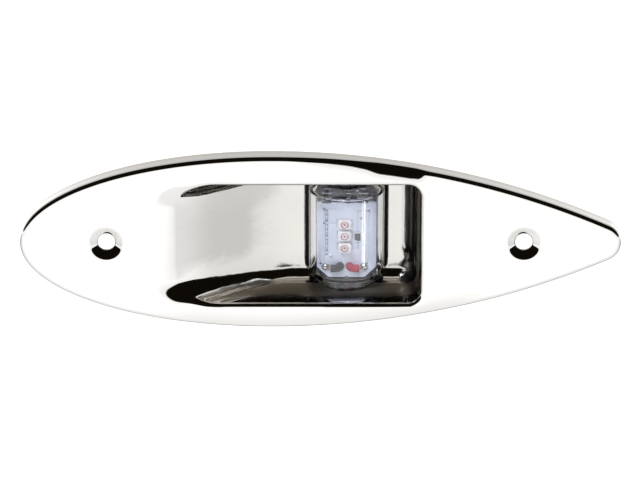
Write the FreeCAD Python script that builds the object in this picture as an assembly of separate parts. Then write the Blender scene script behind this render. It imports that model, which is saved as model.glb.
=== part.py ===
import FreeCAD, Part
import math
import os

from FreeCAD import Vector

# Flush-mount LED side light for a boat: a pressed stainless teardrop cover with a scoop
# pocket, and a clear lens with a three-LED board in it.
#
# Frame, in millimetres: +X runs from the round nose to the pointed tail, +Z is up and -Y is
# the way the light shines. The origin lies midway between the two screw holes, on the plane
# y = 0 where the cover meets the hull. A "depth" is a distance behind the flat front face.

# ---- Cover ----------------------------------------------------------------------------
COVER_LENGTH = 180.0
COVER_WIDTH = 55.0
COVER_HEIGHT = 5.7          # front face to hull plane
SHEET = 0.9
BEND_RADIUS = 1.3           # outside of the bend from the face to the skirt
BEND_INSIDE = 0.4
NOSE_X = -88.4
NOSE_RUN = 75.0             # the nose is half an ellipse this long
NOSE_SPANS = 24             # even steps round the nose that its curve passes through
TAIL_RADIUS = 6.0

# ---- Screw dimples --------------------------------------------------------------------
SCREW_SPACING = 125.0
SCREW_HOLE_R = 2.6
DIMPLE_R = 5.4
DIMPLE_LIP = 1.4

# ---- Pocket ---------------------------------------------------------------------------
POCKET_START_X = -45.0      # where the sloping floor would meet the face
POCKET_LAND_X = -14.2       # where the slope reaches the flat land
POCKET_END_X = 31.7         # right wall, at the face
POCKET_HALF = 19.0          # half width, at the face
POCKET_DEPTH = 17.8
POCKET_DRAFT = 3.0          # degrees, on the three upright walls
POCKET_FILLET = 4.3
POCKET_END_FILLET = 6.5
POCKET_RAMP_FILLET = 30.0
POCKET_LIP = 1.3
POCKET_TOOL_REACH = 12.0    # the pocket tool runs on this far in front of the face

# ---- Lens -----------------------------------------------------------------------------
LENS_X = 9.5
LENS_R = 11.4
LENS_AXIS_DEPTH = 11.7
LENS_HALF = 17.1
LENS_CHAMFER = 3.7
LENS_WALL = 2.0
APERTURE_GAP = 0.4          # room for the gasket collar round the lens
COLLAR_RISE = 0.6           # the collar stands this far over the land

# ---- Stack behind the land, as depths ---------------------------------------------------
GASKET_TOP = 15.3
FLANGE_FRONT = 19.9
FLANGE_BACK = 21.5
SEAL_BACK = 22.3
HOUSING_FLANGE_BACK = 23.9
FLANGE_X = (-8.8, 27.8)
FLANGE_HALF = 18.1
FLANGE_CORNER = 10.0

# ---- Studs and their nuts --------------------------------------------------------------
STUD_X = (-5.2, 24.2)
STUD_Z = (-9.0, 9.0)
STUD_R = 1.5
STUD_HOLE_R = 1.7
STUD_END = 28.1
WASHER_R = 3.0
WASHER_THICK = 0.5
NUT_FLATS = 5.5
NUT_THICK = 2.4
NUT_BORE_R = 1.56
NUT_CROWN_SLOPE = 2.0       # the nut's bevelled corners: run over rise

# ---- Rear housing ----------------------------------------------------------------------
HOUSING_HALF_X = 10.9
HOUSING_HALF_Z = 14.6
HOUSING_Z = -1.6            # the tub sits low, round the two wires
HOUSING_WALL = 1.8
HOUSING_BACK = 33.0
HOUSING_CORNER = 2.5
HOUSING_INNER_CORNER = 1.5
HOUSING_BACK_FILLET = 1.0
GLAND_END = 38.0
GLAND_R = 5.2               # the gland is centred on the two wires
GLAND_BORE_R = 3.6
GROMMET_LIP = 0.8

# ---- Board -----------------------------------------------------------------------------
BOARD_FRONT = 9.2
BOARD_THICK = 1.6
BOARD_HALF_X = 8.7
BOARD_TOP = 10.2
BOARD_BOTTOM = -14.2
BOARD_CHAMFER = 3.4         # at the two lower corners
TOOLING_HOLES = ((1.9, -9.9), (15.5, -9.9))
TOOLING_HOLE_R = 0.4

LED_X = 8.9
LED_Z = (3.4, -0.4, -4.2)
LED_SIZE = (3.5, 1.9, 2.8)
LED_CUP_TOP_R = 1.2
LED_CUP_BOTTOM_R = 0.9
LED_CUP_DEPTH = 0.9
DIE_SIDE = 0.4
DIE_HIGH = 0.2
LEAD_WIDE = 2.2
LEAD_HIGH = 1.0
LEAD_THICK = 0.15
LEAD_FOOT = 0.4

RESISTOR_AT = (12.7, -1.0)
RESISTOR_SIZE = (1.6, 0.6, 3.2)
RESISTOR_CAP = 0.5

TEST_PADS = ((4.9, -7.5), (14.0, 4.8))
TEST_PAD_R = 0.55
TEST_PAD_HIGH = 0.3

# ---- Lead wires, inside the light --------------------------------------------------------
WIRE_R = 1.15
CORE_R = 0.5
WIRE_Z = -10.7
BLACK_WIRE_X = 7.6
RED_WIRE_X = 10.4
WIRE_BEND = 1.8
WIRE_HOLE_R = 1.3
WIRE_RUN = 0.9              # straight insulation after the bend
CORE_REACH = 1.5            # bare core past the insulation
SOLDER_R = 1.3

GLAND_X = (BLACK_WIRE_X + RED_WIRE_X) / 2

# ---- Foam gasket in the skirt ------------------------------------------------------------
FOAM_GAP = 0.5
FOAM_WIDE = 2.5
FOAM_POCKET_CLEARANCE = 0.5

OVERLAP = 0.5               # how far shapes to be fused run into each other
PAST = 1.0                  # how far a cutting shape runs past what it cuts
SMALL = 0.01                # tolerance for picking out edges
BOARD_REACH = 50.0          # half the side of a block that covers the whole board

Y_AXIS = Vector(0, 1, 0)
Z_AXIS = Vector(0, 0, 1)


def at(x, depth, z):
    """The point at this depth behind the front face."""
    return Vector(x, depth - COVER_HEIGHT, z)


def block(x0, x1, d0, d1, z0, z1):
    """An upright box between two depths."""
    return Part.makeBox(x1 - x0, d1 - d0, z1 - z0, at(x0, d0, z0))


def rod(x, z, radius, d0, d1):
    """A round rod along Y between two depths."""
    return Part.makeCylinder(radius, d1 - d0, at(x, d0, z), Y_AXIS)


def prism(points, d0, d1):
    """A prism along Y on an outline of (x, z) points."""
    corners = [at(x, d0, z) for x, z in points]
    outline = Part.makePolygon(corners + corners[:1])
    return Part.Face(outline).extrude(Y_AXIS * (d1 - d0))


def rounded_plate(x0, x1, half, corner, d0, d1, middle=0):
    """A plate along Y with four rounded corners, its middle at a height."""
    plate = block(x0, x1, d0, d1, middle - half, middle + half)
    uprights = [e for e in plate.Edges if abs(e.tangentAt(e.FirstParameter).y) > 0.9]
    return plate.makeFillet(corner, uprights)


def fuse(shapes):
    """One solid out of shapes that touch."""
    whole = shapes[0].multiFuse(shapes[1:]) if len(shapes) > 1 else shapes[0]
    return whole.removeSplitter()


def cover_outline(inset, y):
    """The teardrop outline of the cover, drawn in by inset, at height y."""
    half = COVER_WIDTH / 2
    nose_end = NOSE_X + NOSE_RUN
    tail_x = NOSE_X + COVER_LENGTH - TAIL_RADIUS
    run = tail_x - nose_end
    flank = (run**2 + half**2 - TAIL_RADIUS**2) / (2 * (half - TAIL_RADIUS))
    lean = math.atan2(run, flank - half)

    def nose_point(angle):
        across, along = half * math.sin(angle), NOSE_RUN * math.cos(angle)
        normal = Vector(-along / NOSE_RUN**2, 0, across / half**2).normalize()
        return Vector(nose_end - along, y, across) - normal * inset

    def flank_point(angle, side):
        x = nose_end + (flank - inset) * math.sin(angle)
        return Vector(x, y, side * ((flank - inset) * math.cos(angle) - flank + half))

    angles = [math.pi * (i / NOSE_SPANS - 0.5) for i in range(NOSE_SPANS + 1)]
    nose = Part.BSplineCurve()
    nose.interpolate(
        Points=[nose_point(angle) for angle in angles],
        InitialTangent=Vector(-1, 0, 0),
        FinalTangent=Vector(1, 0, 0),
    )
    tip = Vector(NOSE_X + COVER_LENGTH - inset, y, 0)
    top = Part.Arc(flank_point(0, 1), flank_point(lean / 2, 1), flank_point(lean, 1))
    tail = Part.Arc(flank_point(lean, 1), tip, flank_point(lean, -1))
    bottom = Part.Arc(flank_point(lean, -1), flank_point(lean / 2, -1), flank_point(0, -1))
    return Part.Wire(Part.__sortEdges__([e.toShape() for e in (nose, top, tail, bottom)]))


def cover_block(inset, d0, d1, bend):
    """A solid teardrop between two depths, with its front edge rounded."""
    front = at(0, d0, 0).y
    solid = Part.Face(cover_outline(inset, front)).extrude(Y_AXIS * (d1 - d0))
    rim = [e for e in solid.Edges if e.BoundBox.YMax < front + SMALL]
    return solid.makeFillet(bend, rim)


def pocket_tool(grow):
    """The space in the pocket, swollen by grow, running on in front of the face."""
    draft = math.radians(POCKET_DRAFT)
    ramp = math.atan2(POCKET_DEPTH, POCKET_LAND_X - POCKET_START_X)
    top = -POCKET_TOOL_REACH
    bottom = POCKET_DEPTH + grow
    ramp_shift = grow / math.sin(ramp)
    wall_shift = grow / math.cos(draft)

    def ramp_x(depth):
        return POCKET_START_X + depth / math.tan(ramp) - ramp_shift

    def wall_x(depth):
        return POCKET_END_X - depth * math.tan(draft) + wall_shift

    def half_width(depth):
        return POCKET_HALF - depth * math.tan(draft) + wall_shift

    side = [
        at(ramp_x(top), top, 0),
        at(ramp_x(bottom), bottom, 0),
        at(wall_x(bottom), bottom, 0),
        at(wall_x(top), top, 0),
    ]
    reach = 3 * POCKET_HALF
    scoop = Part.Face(Part.makePolygon(side + side[:1])).extrude(Z_AXIS * 2 * reach)
    scoop.translate(Z_AXIS * -reach)
    for radius, x in ((POCKET_RAMP_FILLET, ramp_x(bottom)), (POCKET_END_FILLET, wall_x(bottom))):
        corner = at(x, bottom, 0)
        edge = [e for e in scoop.Edges if e.distToShape(Part.Vertex(corner))[0] < SMALL]
        scoop = scoop.makeFillet(radius + grow, edge)

    across = [
        at(ramp_x(top) - reach, top, -half_width(top)),
        at(ramp_x(top) - reach, top, half_width(top)),
        at(ramp_x(top) - reach, bottom, half_width(bottom)),
        at(ramp_x(top) - reach, bottom, -half_width(bottom)),
    ]
    trough = Part.Face(Part.makePolygon(across + across[:1])).extrude(Vector(6 * reach, 0, 0))
    tool = scoop.common(trough)
    mouth_y = at(0, top, 0).y

    def on_floor(edge):
        middle = edge.valueAt((edge.FirstParameter + edge.LastParameter) / 2)
        along = edge.tangentAt((edge.FirstParameter + edge.LastParameter) / 2)
        return abs(along.z) < 0.5 and edge.BoundBox.YMax > mouth_y + SMALL and abs(middle.z) > 1

    return tool.makeFillet(POCKET_FILLET + grow, [e for e in tool.Edges if on_floor(e)])


def dimple(x):
    """The metal to add for one screw dimple, and the space to cut out of it."""
    slant = math.sqrt(0.5)
    inner_lip = DIMPLE_LIP - SHEET

    def lip(radius, angle):
        return at(DIMPLE_R - radius * math.sin(angle), DIMPLE_LIP - radius * math.cos(angle), 0)

    def turned(points, arc):
        edges = [Part.Arc(*arc).toShape()]
        edges += [Part.LineSegment(a, b).toShape() for a, b in zip(points, points[1:])]
        face = Part.Face(Part.Wire(Part.__sortEdges__(edges)))
        solid = face.revolve(at(0, 0, 0), Y_AXIS, 360)
        solid.translate(Vector(x, 0, 0))
        return solid

    def cone_end(radius):
        start_r = DIMPLE_R - radius * slant
        start_depth = DIMPLE_LIP - radius * slant
        return at(SCREW_HOLE_R, start_depth + start_r - SCREW_HOLE_R, 0)

    def arc(radius):
        return (lip(radius, 0), lip(radius, math.pi / 8), lip(radius, math.pi / 4))

    inside_plate = SHEET / 2
    added = turned(
        [
            lip(inner_lip, math.pi / 4),
            cone_end(inner_lip),
            Vector(0, cone_end(inner_lip).y, 0),
            at(0, inside_plate, 0),
            at(DIMPLE_R, inside_plate, 0),
            lip(inner_lip, 0),
        ],
        arc(inner_lip),
    )
    removed = turned(
        [
            lip(DIMPLE_LIP, math.pi / 4),
            cone_end(DIMPLE_LIP),
            at(SCREW_HOLE_R, COVER_HEIGHT, 0),
            at(0, COVER_HEIGHT, 0),
            at(0, -PAST, 0),
            at(DIMPLE_R, -PAST, 0),
            lip(DIMPLE_LIP, 0),
        ],
        arc(DIMPLE_LIP),
    )
    return added, removed


def lens_outline(grow):
    """The eight corners of the lens seen from the front, drawn out by grow."""
    slope = grow * math.tan(math.pi / 8)
    wide = LENS_R + grow
    high = LENS_HALF + grow
    short = LENS_R - LENS_CHAMFER + slope
    low = LENS_HALF - LENS_CHAMFER + slope
    quarter = [(wide, low), (short, high)]
    right = [(wide, -low)] + quarter
    left = [(-short, high), (-wide, low), (-wide, -low), (-short, -high), (short, -high)]
    return [(LENS_X + x, z) for x, z in right + left]


def lens_form(grow, back):
    """The rounded front of the lens and its straight neck, back to a depth."""
    slope = grow * math.tan(math.pi / 8)
    end_r = LENS_R - LENS_CHAMFER + slope
    high = LENS_HALF + grow
    low = LENS_HALF - LENS_CHAMFER + slope
    profile = [(0, -high), (end_r, -high), (LENS_R + grow, -low)]
    profile += [(LENS_R + grow, low), (end_r, high), (0, high)]
    points = [at(LENS_X + r, LENS_AXIS_DEPTH, z) for r, z in profile]
    face = Part.Face(Part.makePolygon(points + points[:1]))
    barrel = face.revolve(at(LENS_X, LENS_AXIS_DEPTH, 0), Z_AXIS * -1, 180)
    return fuse([barrel, prism(lens_outline(grow), LENS_AXIS_DEPTH, back)])


def flange_plate(d0, d1):
    """The plate shape that the gasket, lens, seal and housing share."""
    return rounded_plate(*FLANGE_X, FLANGE_HALF, FLANGE_CORNER, d0, d1)


def stud_rods(radius, d0, d1):
    """Four rods at the stud places."""
    return [rod(x, z, radius, d0, d1) for x in STUD_X for z in STUD_Z]


def cover_plate():
    outer = cover_block(0, 0, COVER_HEIGHT, BEND_RADIUS)
    inner = cover_block(SHEET, SHEET, COVER_HEIGHT + PAST, BEND_INSIDE)
    pan = outer.cut(inner)
    space = pocket_tool(0)
    reach = 2 * COVER_LENGTH
    behind_face = block(-reach, reach, SHEET / 2, reach, -reach, reach)
    wall = pocket_tool(SHEET).common(behind_face)
    plate = pan.fuse(wall).cut(space).removeSplitter()
    face_y = at(0, 0, 0).y
    mouth = [
        e
        for e in plate.Edges
        if e.BoundBox.YMax < face_y + SMALL and abs(e.BoundBox.ZMax) < POCKET_HALF + 1
    ]
    plate = plate.makeFillet(POCKET_LIP, mouth)
    plate = plate.cut(prism(lens_outline(APERTURE_GAP), POCKET_DEPTH / 2, FLANGE_BACK))
    for x in (-SCREW_SPACING / 2, SCREW_SPACING / 2):
        added, removed = dimple(x)
        plate = plate.fuse(added).cut(removed)
    return plate.removeSplitter()


def hull_gasket():
    back = COVER_HEIGHT - SHEET
    start = at(0, SHEET, 0).y
    outside = Part.Face(cover_outline(SHEET + FOAM_GAP, start)).extrude(Y_AXIS * back)
    inside = Part.Face(cover_outline(SHEET + FOAM_GAP + FOAM_WIDE, start)).extrude(Y_AXIS * back)
    return outside.cut(inside).cut(pocket_tool(SHEET + FOAM_POCKET_CLEARANCE))


def weld_studs():
    pocket_back = pocket_tool(SHEET)
    studs = [s.cut(pocket_back) for s in stud_rods(STUD_R, GASKET_TOP, STUD_END)]
    chamfer = STUD_R / 4
    tipped = []
    for stud in studs:
        end_y = stud.BoundBox.YMax
        tip = [e for e in stud.Edges if e.BoundBox.YMin > end_y - SMALL]
        tipped.append(stud.makeChamfer(chamfer, tip))
    return Part.makeCompound(tipped)


def stud_washers():
    back = HOUSING_FLANGE_BACK + WASHER_THICK
    rings = stud_rods(WASHER_R, HOUSING_FLANGE_BACK, back)
    holes = stud_rods(STUD_HOLE_R, HOUSING_FLANGE_BACK - PAST, back + PAST)
    return Part.makeCompound([ring.cut(hole) for ring, hole in zip(rings, holes)])


def stud_nuts():
    front = HOUSING_FLANGE_BACK + WASHER_THICK
    back = front + NUT_THICK
    corner_r = NUT_FLATS / math.sqrt(3)
    crown_r = NUT_FLATS / 2
    crown_start = crown_r + NUT_CROWN_SLOPE * NUT_THICK
    crown = Part.makeCone(crown_start, crown_r, NUT_THICK, at(0, front, 0), Y_AXIS)
    nuts = []
    for x in STUD_X:
        for z in STUD_Z:
            turns = [math.pi / 3 * i for i in range(6)]
            corners = [(corner_r * math.cos(a), corner_r * math.sin(a)) for a in turns]
            nut = prism(corners, front, back).common(crown)
            nut = nut.cut(rod(0, 0, NUT_BORE_R, front - PAST, back + PAST))
            nut.translate(Vector(x, 0, z))
            nuts.append(nut)
    return Part.makeCompound(nuts)


def lens():
    front = lens_form(0, FLANGE_FRONT + OVERLAP)
    body = fuse([front, flange_plate(FLANGE_FRONT, FLANGE_BACK)])
    body = body.cut(lens_form(-LENS_WALL, FLANGE_BACK + PAST))
    for hole in stud_rods(STUD_HOLE_R, FLANGE_FRONT - PAST, FLANGE_BACK + PAST):
        body = body.cut(hole)
    return body.removeSplitter()


def lens_gasket():
    slab = flange_plate(GASKET_TOP, FLANGE_FRONT).cut(pocket_tool(SHEET))
    collar_top = POCKET_DEPTH - COLLAR_RISE
    collar = prism(lens_outline(APERTURE_GAP), collar_top, FLANGE_FRONT)
    body = slab.fuse(collar).cut(lens_form(0, FLANGE_FRONT + PAST))
    for hole in stud_rods(STUD_R, GASKET_TOP - PAST, FLANGE_FRONT + PAST):
        body = body.cut(hole)
    return largest(body.removeSplitter())


def housing_seal():
    body = flange_plate(FLANGE_BACK, SEAL_BACK)
    body = body.cut(prism(lens_outline(-LENS_WALL), FLANGE_BACK - PAST, SEAL_BACK + PAST))
    for hole in stud_rods(STUD_HOLE_R, FLANGE_BACK - PAST, SEAL_BACK + PAST):
        body = body.cut(hole)
    return body


def housing_cavity(d0):
    """The hollow of the rear housing, from a depth to its back wall."""
    half_x = HOUSING_HALF_X - HOUSING_WALL
    half_z = HOUSING_HALF_Z - HOUSING_WALL
    back = HOUSING_BACK - HOUSING_WALL
    left, right = LENS_X - half_x, LENS_X + half_x
    return rounded_plate(left, right, half_z, HOUSING_INNER_CORNER, d0, back, HOUSING_Z)


def back_housing():
    flange = flange_plate(SEAL_BACK, HOUSING_FLANGE_BACK)
    left, right = LENS_X - HOUSING_HALF_X, LENS_X + HOUSING_HALF_X
    start = SEAL_BACK + OVERLAP
    size = (left, right, HOUSING_HALF_Z, HOUSING_CORNER, start, HOUSING_BACK)
    tub = rounded_plate(*size, HOUSING_Z)
    back_y = at(0, HOUSING_BACK, 0).y
    rim = [e for e in tub.Edges if e.BoundBox.YMin > back_y - SMALL]
    tub = tub.makeFillet(HOUSING_BACK_FILLET, rim)
    gland = rod(GLAND_X, WIRE_Z, GLAND_R, HOUSING_BACK - OVERLAP, GLAND_END)
    body = fuse([flange, tub, gland]).cut(housing_cavity(SEAL_BACK - PAST))
    body = body.cut(rod(GLAND_X, WIRE_Z, GLAND_BORE_R, SEAL_BACK, GLAND_END + PAST))
    for hole in stud_rods(STUD_HOLE_R, SEAL_BACK - PAST, HOUSING_FLANGE_BACK + PAST):
        body = body.cut(hole)
    return body.removeSplitter()


def wire_grommet():
    bore_start = HOUSING_BACK - HOUSING_WALL
    plug = rod(GLAND_X, WIRE_Z, GLAND_BORE_R, bore_start, GLAND_END)
    lip = rod(GLAND_X, WIRE_Z, GLAND_R, GLAND_END, GLAND_END + GROMMET_LIP)
    body = fuse([plug, lip])
    for x in (BLACK_WIRE_X, RED_WIRE_X):
        body = body.cut(rod(x, WIRE_Z, WIRE_R, bore_start - PAST, GLAND_END + 2 * PAST))
    return body


def wire_path(x, side, run):
    """From the gland to the board, through it and round to one side, along its face."""
    lie = BOARD_FRONT - WIRE_BEND
    slant = WIRE_BEND * math.sqrt(0.5)
    start = at(x, BOARD_FRONT, WIRE_Z)
    middle = at(x + side * (WIRE_BEND - slant), BOARD_FRONT - slant, WIRE_Z)
    end = at(x + side * WIRE_BEND, lie, WIRE_Z)
    out = at(x + side * (WIRE_BEND + run), lie, WIRE_Z)
    edges = [
        Part.LineSegment(at(x, GLAND_END + GROMMET_LIP, WIRE_Z), start).toShape(),
        Part.Arc(start, middle, end).toShape(),
        Part.LineSegment(end, out).toShape(),
    ]
    return Part.Wire(edges), out


def swept(path, radius, x):
    """A round section swept along a wire path."""
    ring = Part.makeCircle(radius, at(x, GLAND_END + GROMMET_LIP, WIRE_Z), Y_AXIS)
    return path.makePipeShell([Part.Wire(ring)], True, True)


def wire_core(x, side):
    path, out = wire_path(x, side, WIRE_RUN)
    tip = Vector(out.x + side * CORE_REACH, at(0, BOARD_FRONT - CORE_R, 0).y, out.z)
    bare = Part.makeCylinder(CORE_R, (tip - out).Length, out, tip - out)
    return fuse([swept(path, CORE_R, x), bare, Part.makeSphere(CORE_R, out)])


def wire_insulation(x, side):
    path, _ = wire_path(x, side, WIRE_RUN)
    return swept(path, WIRE_R, x).cut(wire_core(x, side))


def board_zone(d0, d1):
    """All the space over the board between two depths."""
    return block(-BOARD_REACH, BOARD_REACH, d0, d1, -BOARD_REACH, BOARD_REACH)


def solder_joints():
    in_front = board_zone(0, BOARD_FRONT)
    joints = []
    for x, side in ((BLACK_WIRE_X, -1), (RED_WIRE_X, 1)):
        at_x = x + side * (WIRE_BEND + WIRE_RUN + CORE_REACH)
        dome = Part.makeSphere(SOLDER_R, at(at_x, BOARD_FRONT, WIRE_Z)).common(in_front)
        joints.append(dome.cut(wire_core(x, side)).cut(wire_insulation(x, side)))
    return Part.makeCompound(joints)


def circuit_board():
    wide, cut = BOARD_HALF_X, BOARD_CHAMFER
    corners = [(wide, BOARD_TOP), (-wide, BOARD_TOP), (-wide, BOARD_BOTTOM + cut)]
    corners += [(cut - wide, BOARD_BOTTOM), (wide - cut, BOARD_BOTTOM), (wide, BOARD_BOTTOM + cut)]
    outline = [(LENS_X + x, z) for x, z in corners]
    back = BOARD_FRONT + BOARD_THICK
    board = prism(outline, BOARD_FRONT, back)
    holes = [(x, z, TOOLING_HOLE_R) for x, z in TOOLING_HOLES]
    holes += [(x, WIRE_Z, WIRE_HOLE_R) for x in (BLACK_WIRE_X, RED_WIRE_X)]
    for x, z, radius in holes:
        board = board.cut(rod(x, z, radius, BOARD_FRONT - PAST, back + PAST))
    return board


def led_cup(z):
    """The round hollow in one LED, filled with resin."""
    front = BOARD_FRONT - LED_SIZE[1]
    return Part.makeCone(
        LED_CUP_TOP_R, LED_CUP_BOTTOM_R, LED_CUP_DEPTH, at(LED_X, front, z), Y_AXIS
    )


def led_die(z):
    half = DIE_SIDE / 2
    floor = BOARD_FRONT - LED_SIZE[1] + LED_CUP_DEPTH
    return block(LED_X - half, LED_X + half, floor - DIE_HIGH, floor, z - half, z + half)


def led_bodies():
    wide, high, tall = LED_SIZE
    bodies = []
    for z in LED_Z:
        left, right = LED_X - wide / 2, LED_X + wide / 2
        body = block(left, right, BOARD_FRONT - high, BOARD_FRONT, z - tall / 2, z + tall / 2)
        bodies.append(body.cut(led_cup(z)))
    return Part.makeCompound(bodies)


def led_resin():
    return Part.makeCompound([led_cup(z).cut(led_die(z)) for z in LED_Z])


def led_dies():
    return Part.makeCompound([led_die(z) for z in LED_Z])


def led_leads():
    leads = []
    for z in LED_Z:
        for side in (-1, 1):
            end = LED_X + side * LED_SIZE[0] / 2
            strip = sorted((end, end + side * LEAD_THICK))
            foot = sorted((end + side * LEAD_THICK, end + side * LEAD_FOOT))
            low, high = z - LEAD_WIDE / 2, z + LEAD_WIDE / 2
            upright = block(*strip, BOARD_FRONT - LEAD_HIGH, BOARD_FRONT, low, high)
            flat = block(*foot, BOARD_FRONT - LEAD_THICK, BOARD_FRONT, low, high)
            leads.append(fuse([upright, flat]))
    return Part.makeCompound(leads)


def resistor_piece(z0, z1):
    """A slice of the chip resistor between two heights from its middle."""
    x, z = RESISTOR_AT
    half = RESISTOR_SIZE[0] / 2
    return block(x - half, x + half, BOARD_FRONT - RESISTOR_SIZE[1], BOARD_FRONT, z + z0, z + z1)


def resistor_body():
    inner = RESISTOR_SIZE[2] / 2 - RESISTOR_CAP
    return resistor_piece(-inner, inner)


def resistor_caps():
    outer = RESISTOR_SIZE[2] / 2
    inner = outer - RESISTOR_CAP
    return Part.makeCompound([resistor_piece(-outer, -inner), resistor_piece(inner, outer)])


def test_pads():
    ball = (TEST_PAD_R**2 + TEST_PAD_HIGH**2) / (2 * TEST_PAD_HIGH)
    in_front = board_zone(0, BOARD_FRONT)
    domes = []
    for x, z in TEST_PADS:
        centre = at(x, BOARD_FRONT - TEST_PAD_HIGH + ball, z)
        domes.append(Part.makeSphere(ball, centre).common(in_front))
    return Part.makeCompound(domes)


def potting():
    back = BOARD_FRONT + BOARD_THICK
    in_lens = lens_form(-LENS_WALL, FLANGE_BACK).common(board_zone(back, FLANGE_BACK))
    in_seal = prism(lens_outline(-LENS_WALL), FLANGE_BACK, SEAL_BACK)
    body = fuse([in_lens, in_seal, housing_cavity(SEAL_BACK)])
    for x in (BLACK_WIRE_X, RED_WIRE_X):
        body = body.cut(rod(x, WIRE_Z, WIRE_R, back - PAST, GLAND_END))
    return body.removeSplitter()


def largest(shape):
    """The biggest solid of a shape, without slivers."""
    return max(shape.Solids, key=lambda s: s.Volume)


def main():
    nodes = {
        "cover_plate": cover_plate(),
        "hull_gasket": hull_gasket(),
        "weld_studs": weld_studs(),
        "stud_washers": stud_washers(),
        "stud_nuts": stud_nuts(),
        "lens": lens(),
        "lens_gasket": lens_gasket(),
        "housing_seal": housing_seal(),
        "back_housing": back_housing(),
        "potting_compound": potting(),
        "wire_grommet": wire_grommet(),
        "circuit_board": circuit_board(),
        "led_bodies": led_bodies(),
        "led_resin": led_resin(),
        "led_dies": led_dies(),
        "led_leads": led_leads(),
        "resistor_body": resistor_body(),
        "resistor_caps": resistor_caps(),
        "test_pads": test_pads(),
        "solder_joints": solder_joints(),
        "black_wire_insulation": wire_insulation(BLACK_WIRE_X, -1),
        "black_wire_core": wire_core(BLACK_WIRE_X, -1),
        "red_wire_insulation": wire_insulation(RED_WIRE_X, 1),
        "red_wire_core": wire_core(RED_WIRE_X, 1),
    }
    os.makedirs("parts", exist_ok=True)
    for name, shape in nodes.items():
        solids = len(shape.Solids)
        print(f"{name}: {solids} solid(s), {shape.Volume:.1f} mm3, valid {shape.isValid()}")
        shape.exportStep(f"parts/{name}.step")


main()
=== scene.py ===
import logging
import math
from contextlib import contextmanager
from dataclasses import dataclass
from enum import Enum
from typing import Callable, Iterable, Iterator, Sequence

import bmesh
import bpy
import numpy as np
from mathutils import Matrix, Vector


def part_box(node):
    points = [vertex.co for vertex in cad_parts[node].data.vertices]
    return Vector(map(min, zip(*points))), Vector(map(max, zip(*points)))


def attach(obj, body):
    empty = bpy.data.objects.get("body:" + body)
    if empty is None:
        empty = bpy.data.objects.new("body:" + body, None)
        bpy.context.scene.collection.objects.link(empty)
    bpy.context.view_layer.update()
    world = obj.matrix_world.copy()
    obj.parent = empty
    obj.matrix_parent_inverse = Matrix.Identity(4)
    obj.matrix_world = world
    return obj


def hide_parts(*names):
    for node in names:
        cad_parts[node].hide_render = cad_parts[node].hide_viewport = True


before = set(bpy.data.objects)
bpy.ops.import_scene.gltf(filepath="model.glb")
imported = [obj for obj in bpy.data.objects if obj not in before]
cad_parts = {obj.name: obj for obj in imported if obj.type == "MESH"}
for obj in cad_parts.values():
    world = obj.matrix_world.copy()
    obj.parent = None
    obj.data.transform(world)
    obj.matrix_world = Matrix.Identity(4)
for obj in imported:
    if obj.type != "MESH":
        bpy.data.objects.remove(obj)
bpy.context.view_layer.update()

log = logging.getLogger("navigation_light")
MM = 0.001
BODY = "root"
Point = tuple[float, float, float]


# ---------------------------------------------------------------------------------------------
# The workbench: short names for hand work
# ---------------------------------------------------------------------------------------------


def deselect() -> None:
    """Leaves edit mode and deselects every object."""
    if bpy.context.object and bpy.context.object.mode != "OBJECT":
        bpy.ops.object.mode_set(mode="OBJECT")
    bpy.ops.object.select_all(action="DESELECT")


def pick(piece: bpy.types.Object) -> bpy.types.Object:
    """Makes one object the only selected and active one."""
    deselect()
    piece.select_set(True)
    bpy.context.view_layer.objects.active = piece
    return piece


@contextmanager
def editing(piece: bpy.types.Object) -> Iterator[bmesh.types.BMesh]:
    """Edit mode on one object, with nothing selected in its mesh.

    Args:
        piece: the object to work on.
    """
    pick(piece)
    bpy.ops.object.mode_set(mode="EDIT")
    bpy.ops.mesh.select_mode(type="VERT")
    bpy.ops.mesh.select_all(action="DESELECT")
    yield bmesh.from_edit_mesh(piece.data)
    bpy.ops.object.mode_set(mode="OBJECT")


class Element(Enum):
    """The kinds of mesh element, each with its list's name."""

    VERT = "verts"
    EDGE = "edges"
    FACE = "faces"


def choose(piece: bpy.types.Object, kind: Element, test: Callable[..., bool]) -> None:
    """Selects the vertices, edges or faces that pass a test, in edit mode.

    Args:
        piece: the object in edit mode.
        kind: what is chosen among.
        test: takes one element and says whether it is wanted.
    """
    bpy.ops.mesh.select_mode(type=kind.name)
    bpy.ops.mesh.select_all(action="DESELECT")
    form = bmesh.from_edit_mesh(piece.data)
    for element in getattr(form, kind.value):
        element.select = test(element)
    form.select_flush_mode()
    bmesh.update_edit_mesh(piece.data)


def apply(piece: bpy.types.Object, kind: str, **settings: object) -> None:
    """Adds a modifier to an object and applies it.

    Args:
        piece: the object to change.
        kind: the modifier's type, such as SOLIDIFY.
        settings: the modifier's own settings.
    """
    pick(piece)
    modifier = piece.modifiers.new(kind.title(), kind)
    for name, value in settings.items():
        setattr(modifier, name, value)
    bpy.ops.object.modifier_apply(modifier=modifier.name)


def join(pieces: Sequence[bpy.types.Object]) -> bpy.types.Object:
    """Joins objects into the first one."""
    pick(pieces[0])
    for piece in pieces[1:]:
        piece.select_set(True)
    bpy.ops.object.join()
    return pieces[0]


def copy_of(piece: bpy.types.Object, move: Vector) -> bpy.types.Object:
    """A copy of an object with its own mesh, moved.

    Args:
        piece: the object to copy.
        move: how far, in metres.

    Returns:
        The copy, with its place in its mesh.
    """
    twin = piece.copy()
    twin.data = piece.data.copy()
    bpy.context.scene.collection.objects.link(twin)
    twin.data.transform(Matrix.Translation(move))
    return twin


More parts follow.
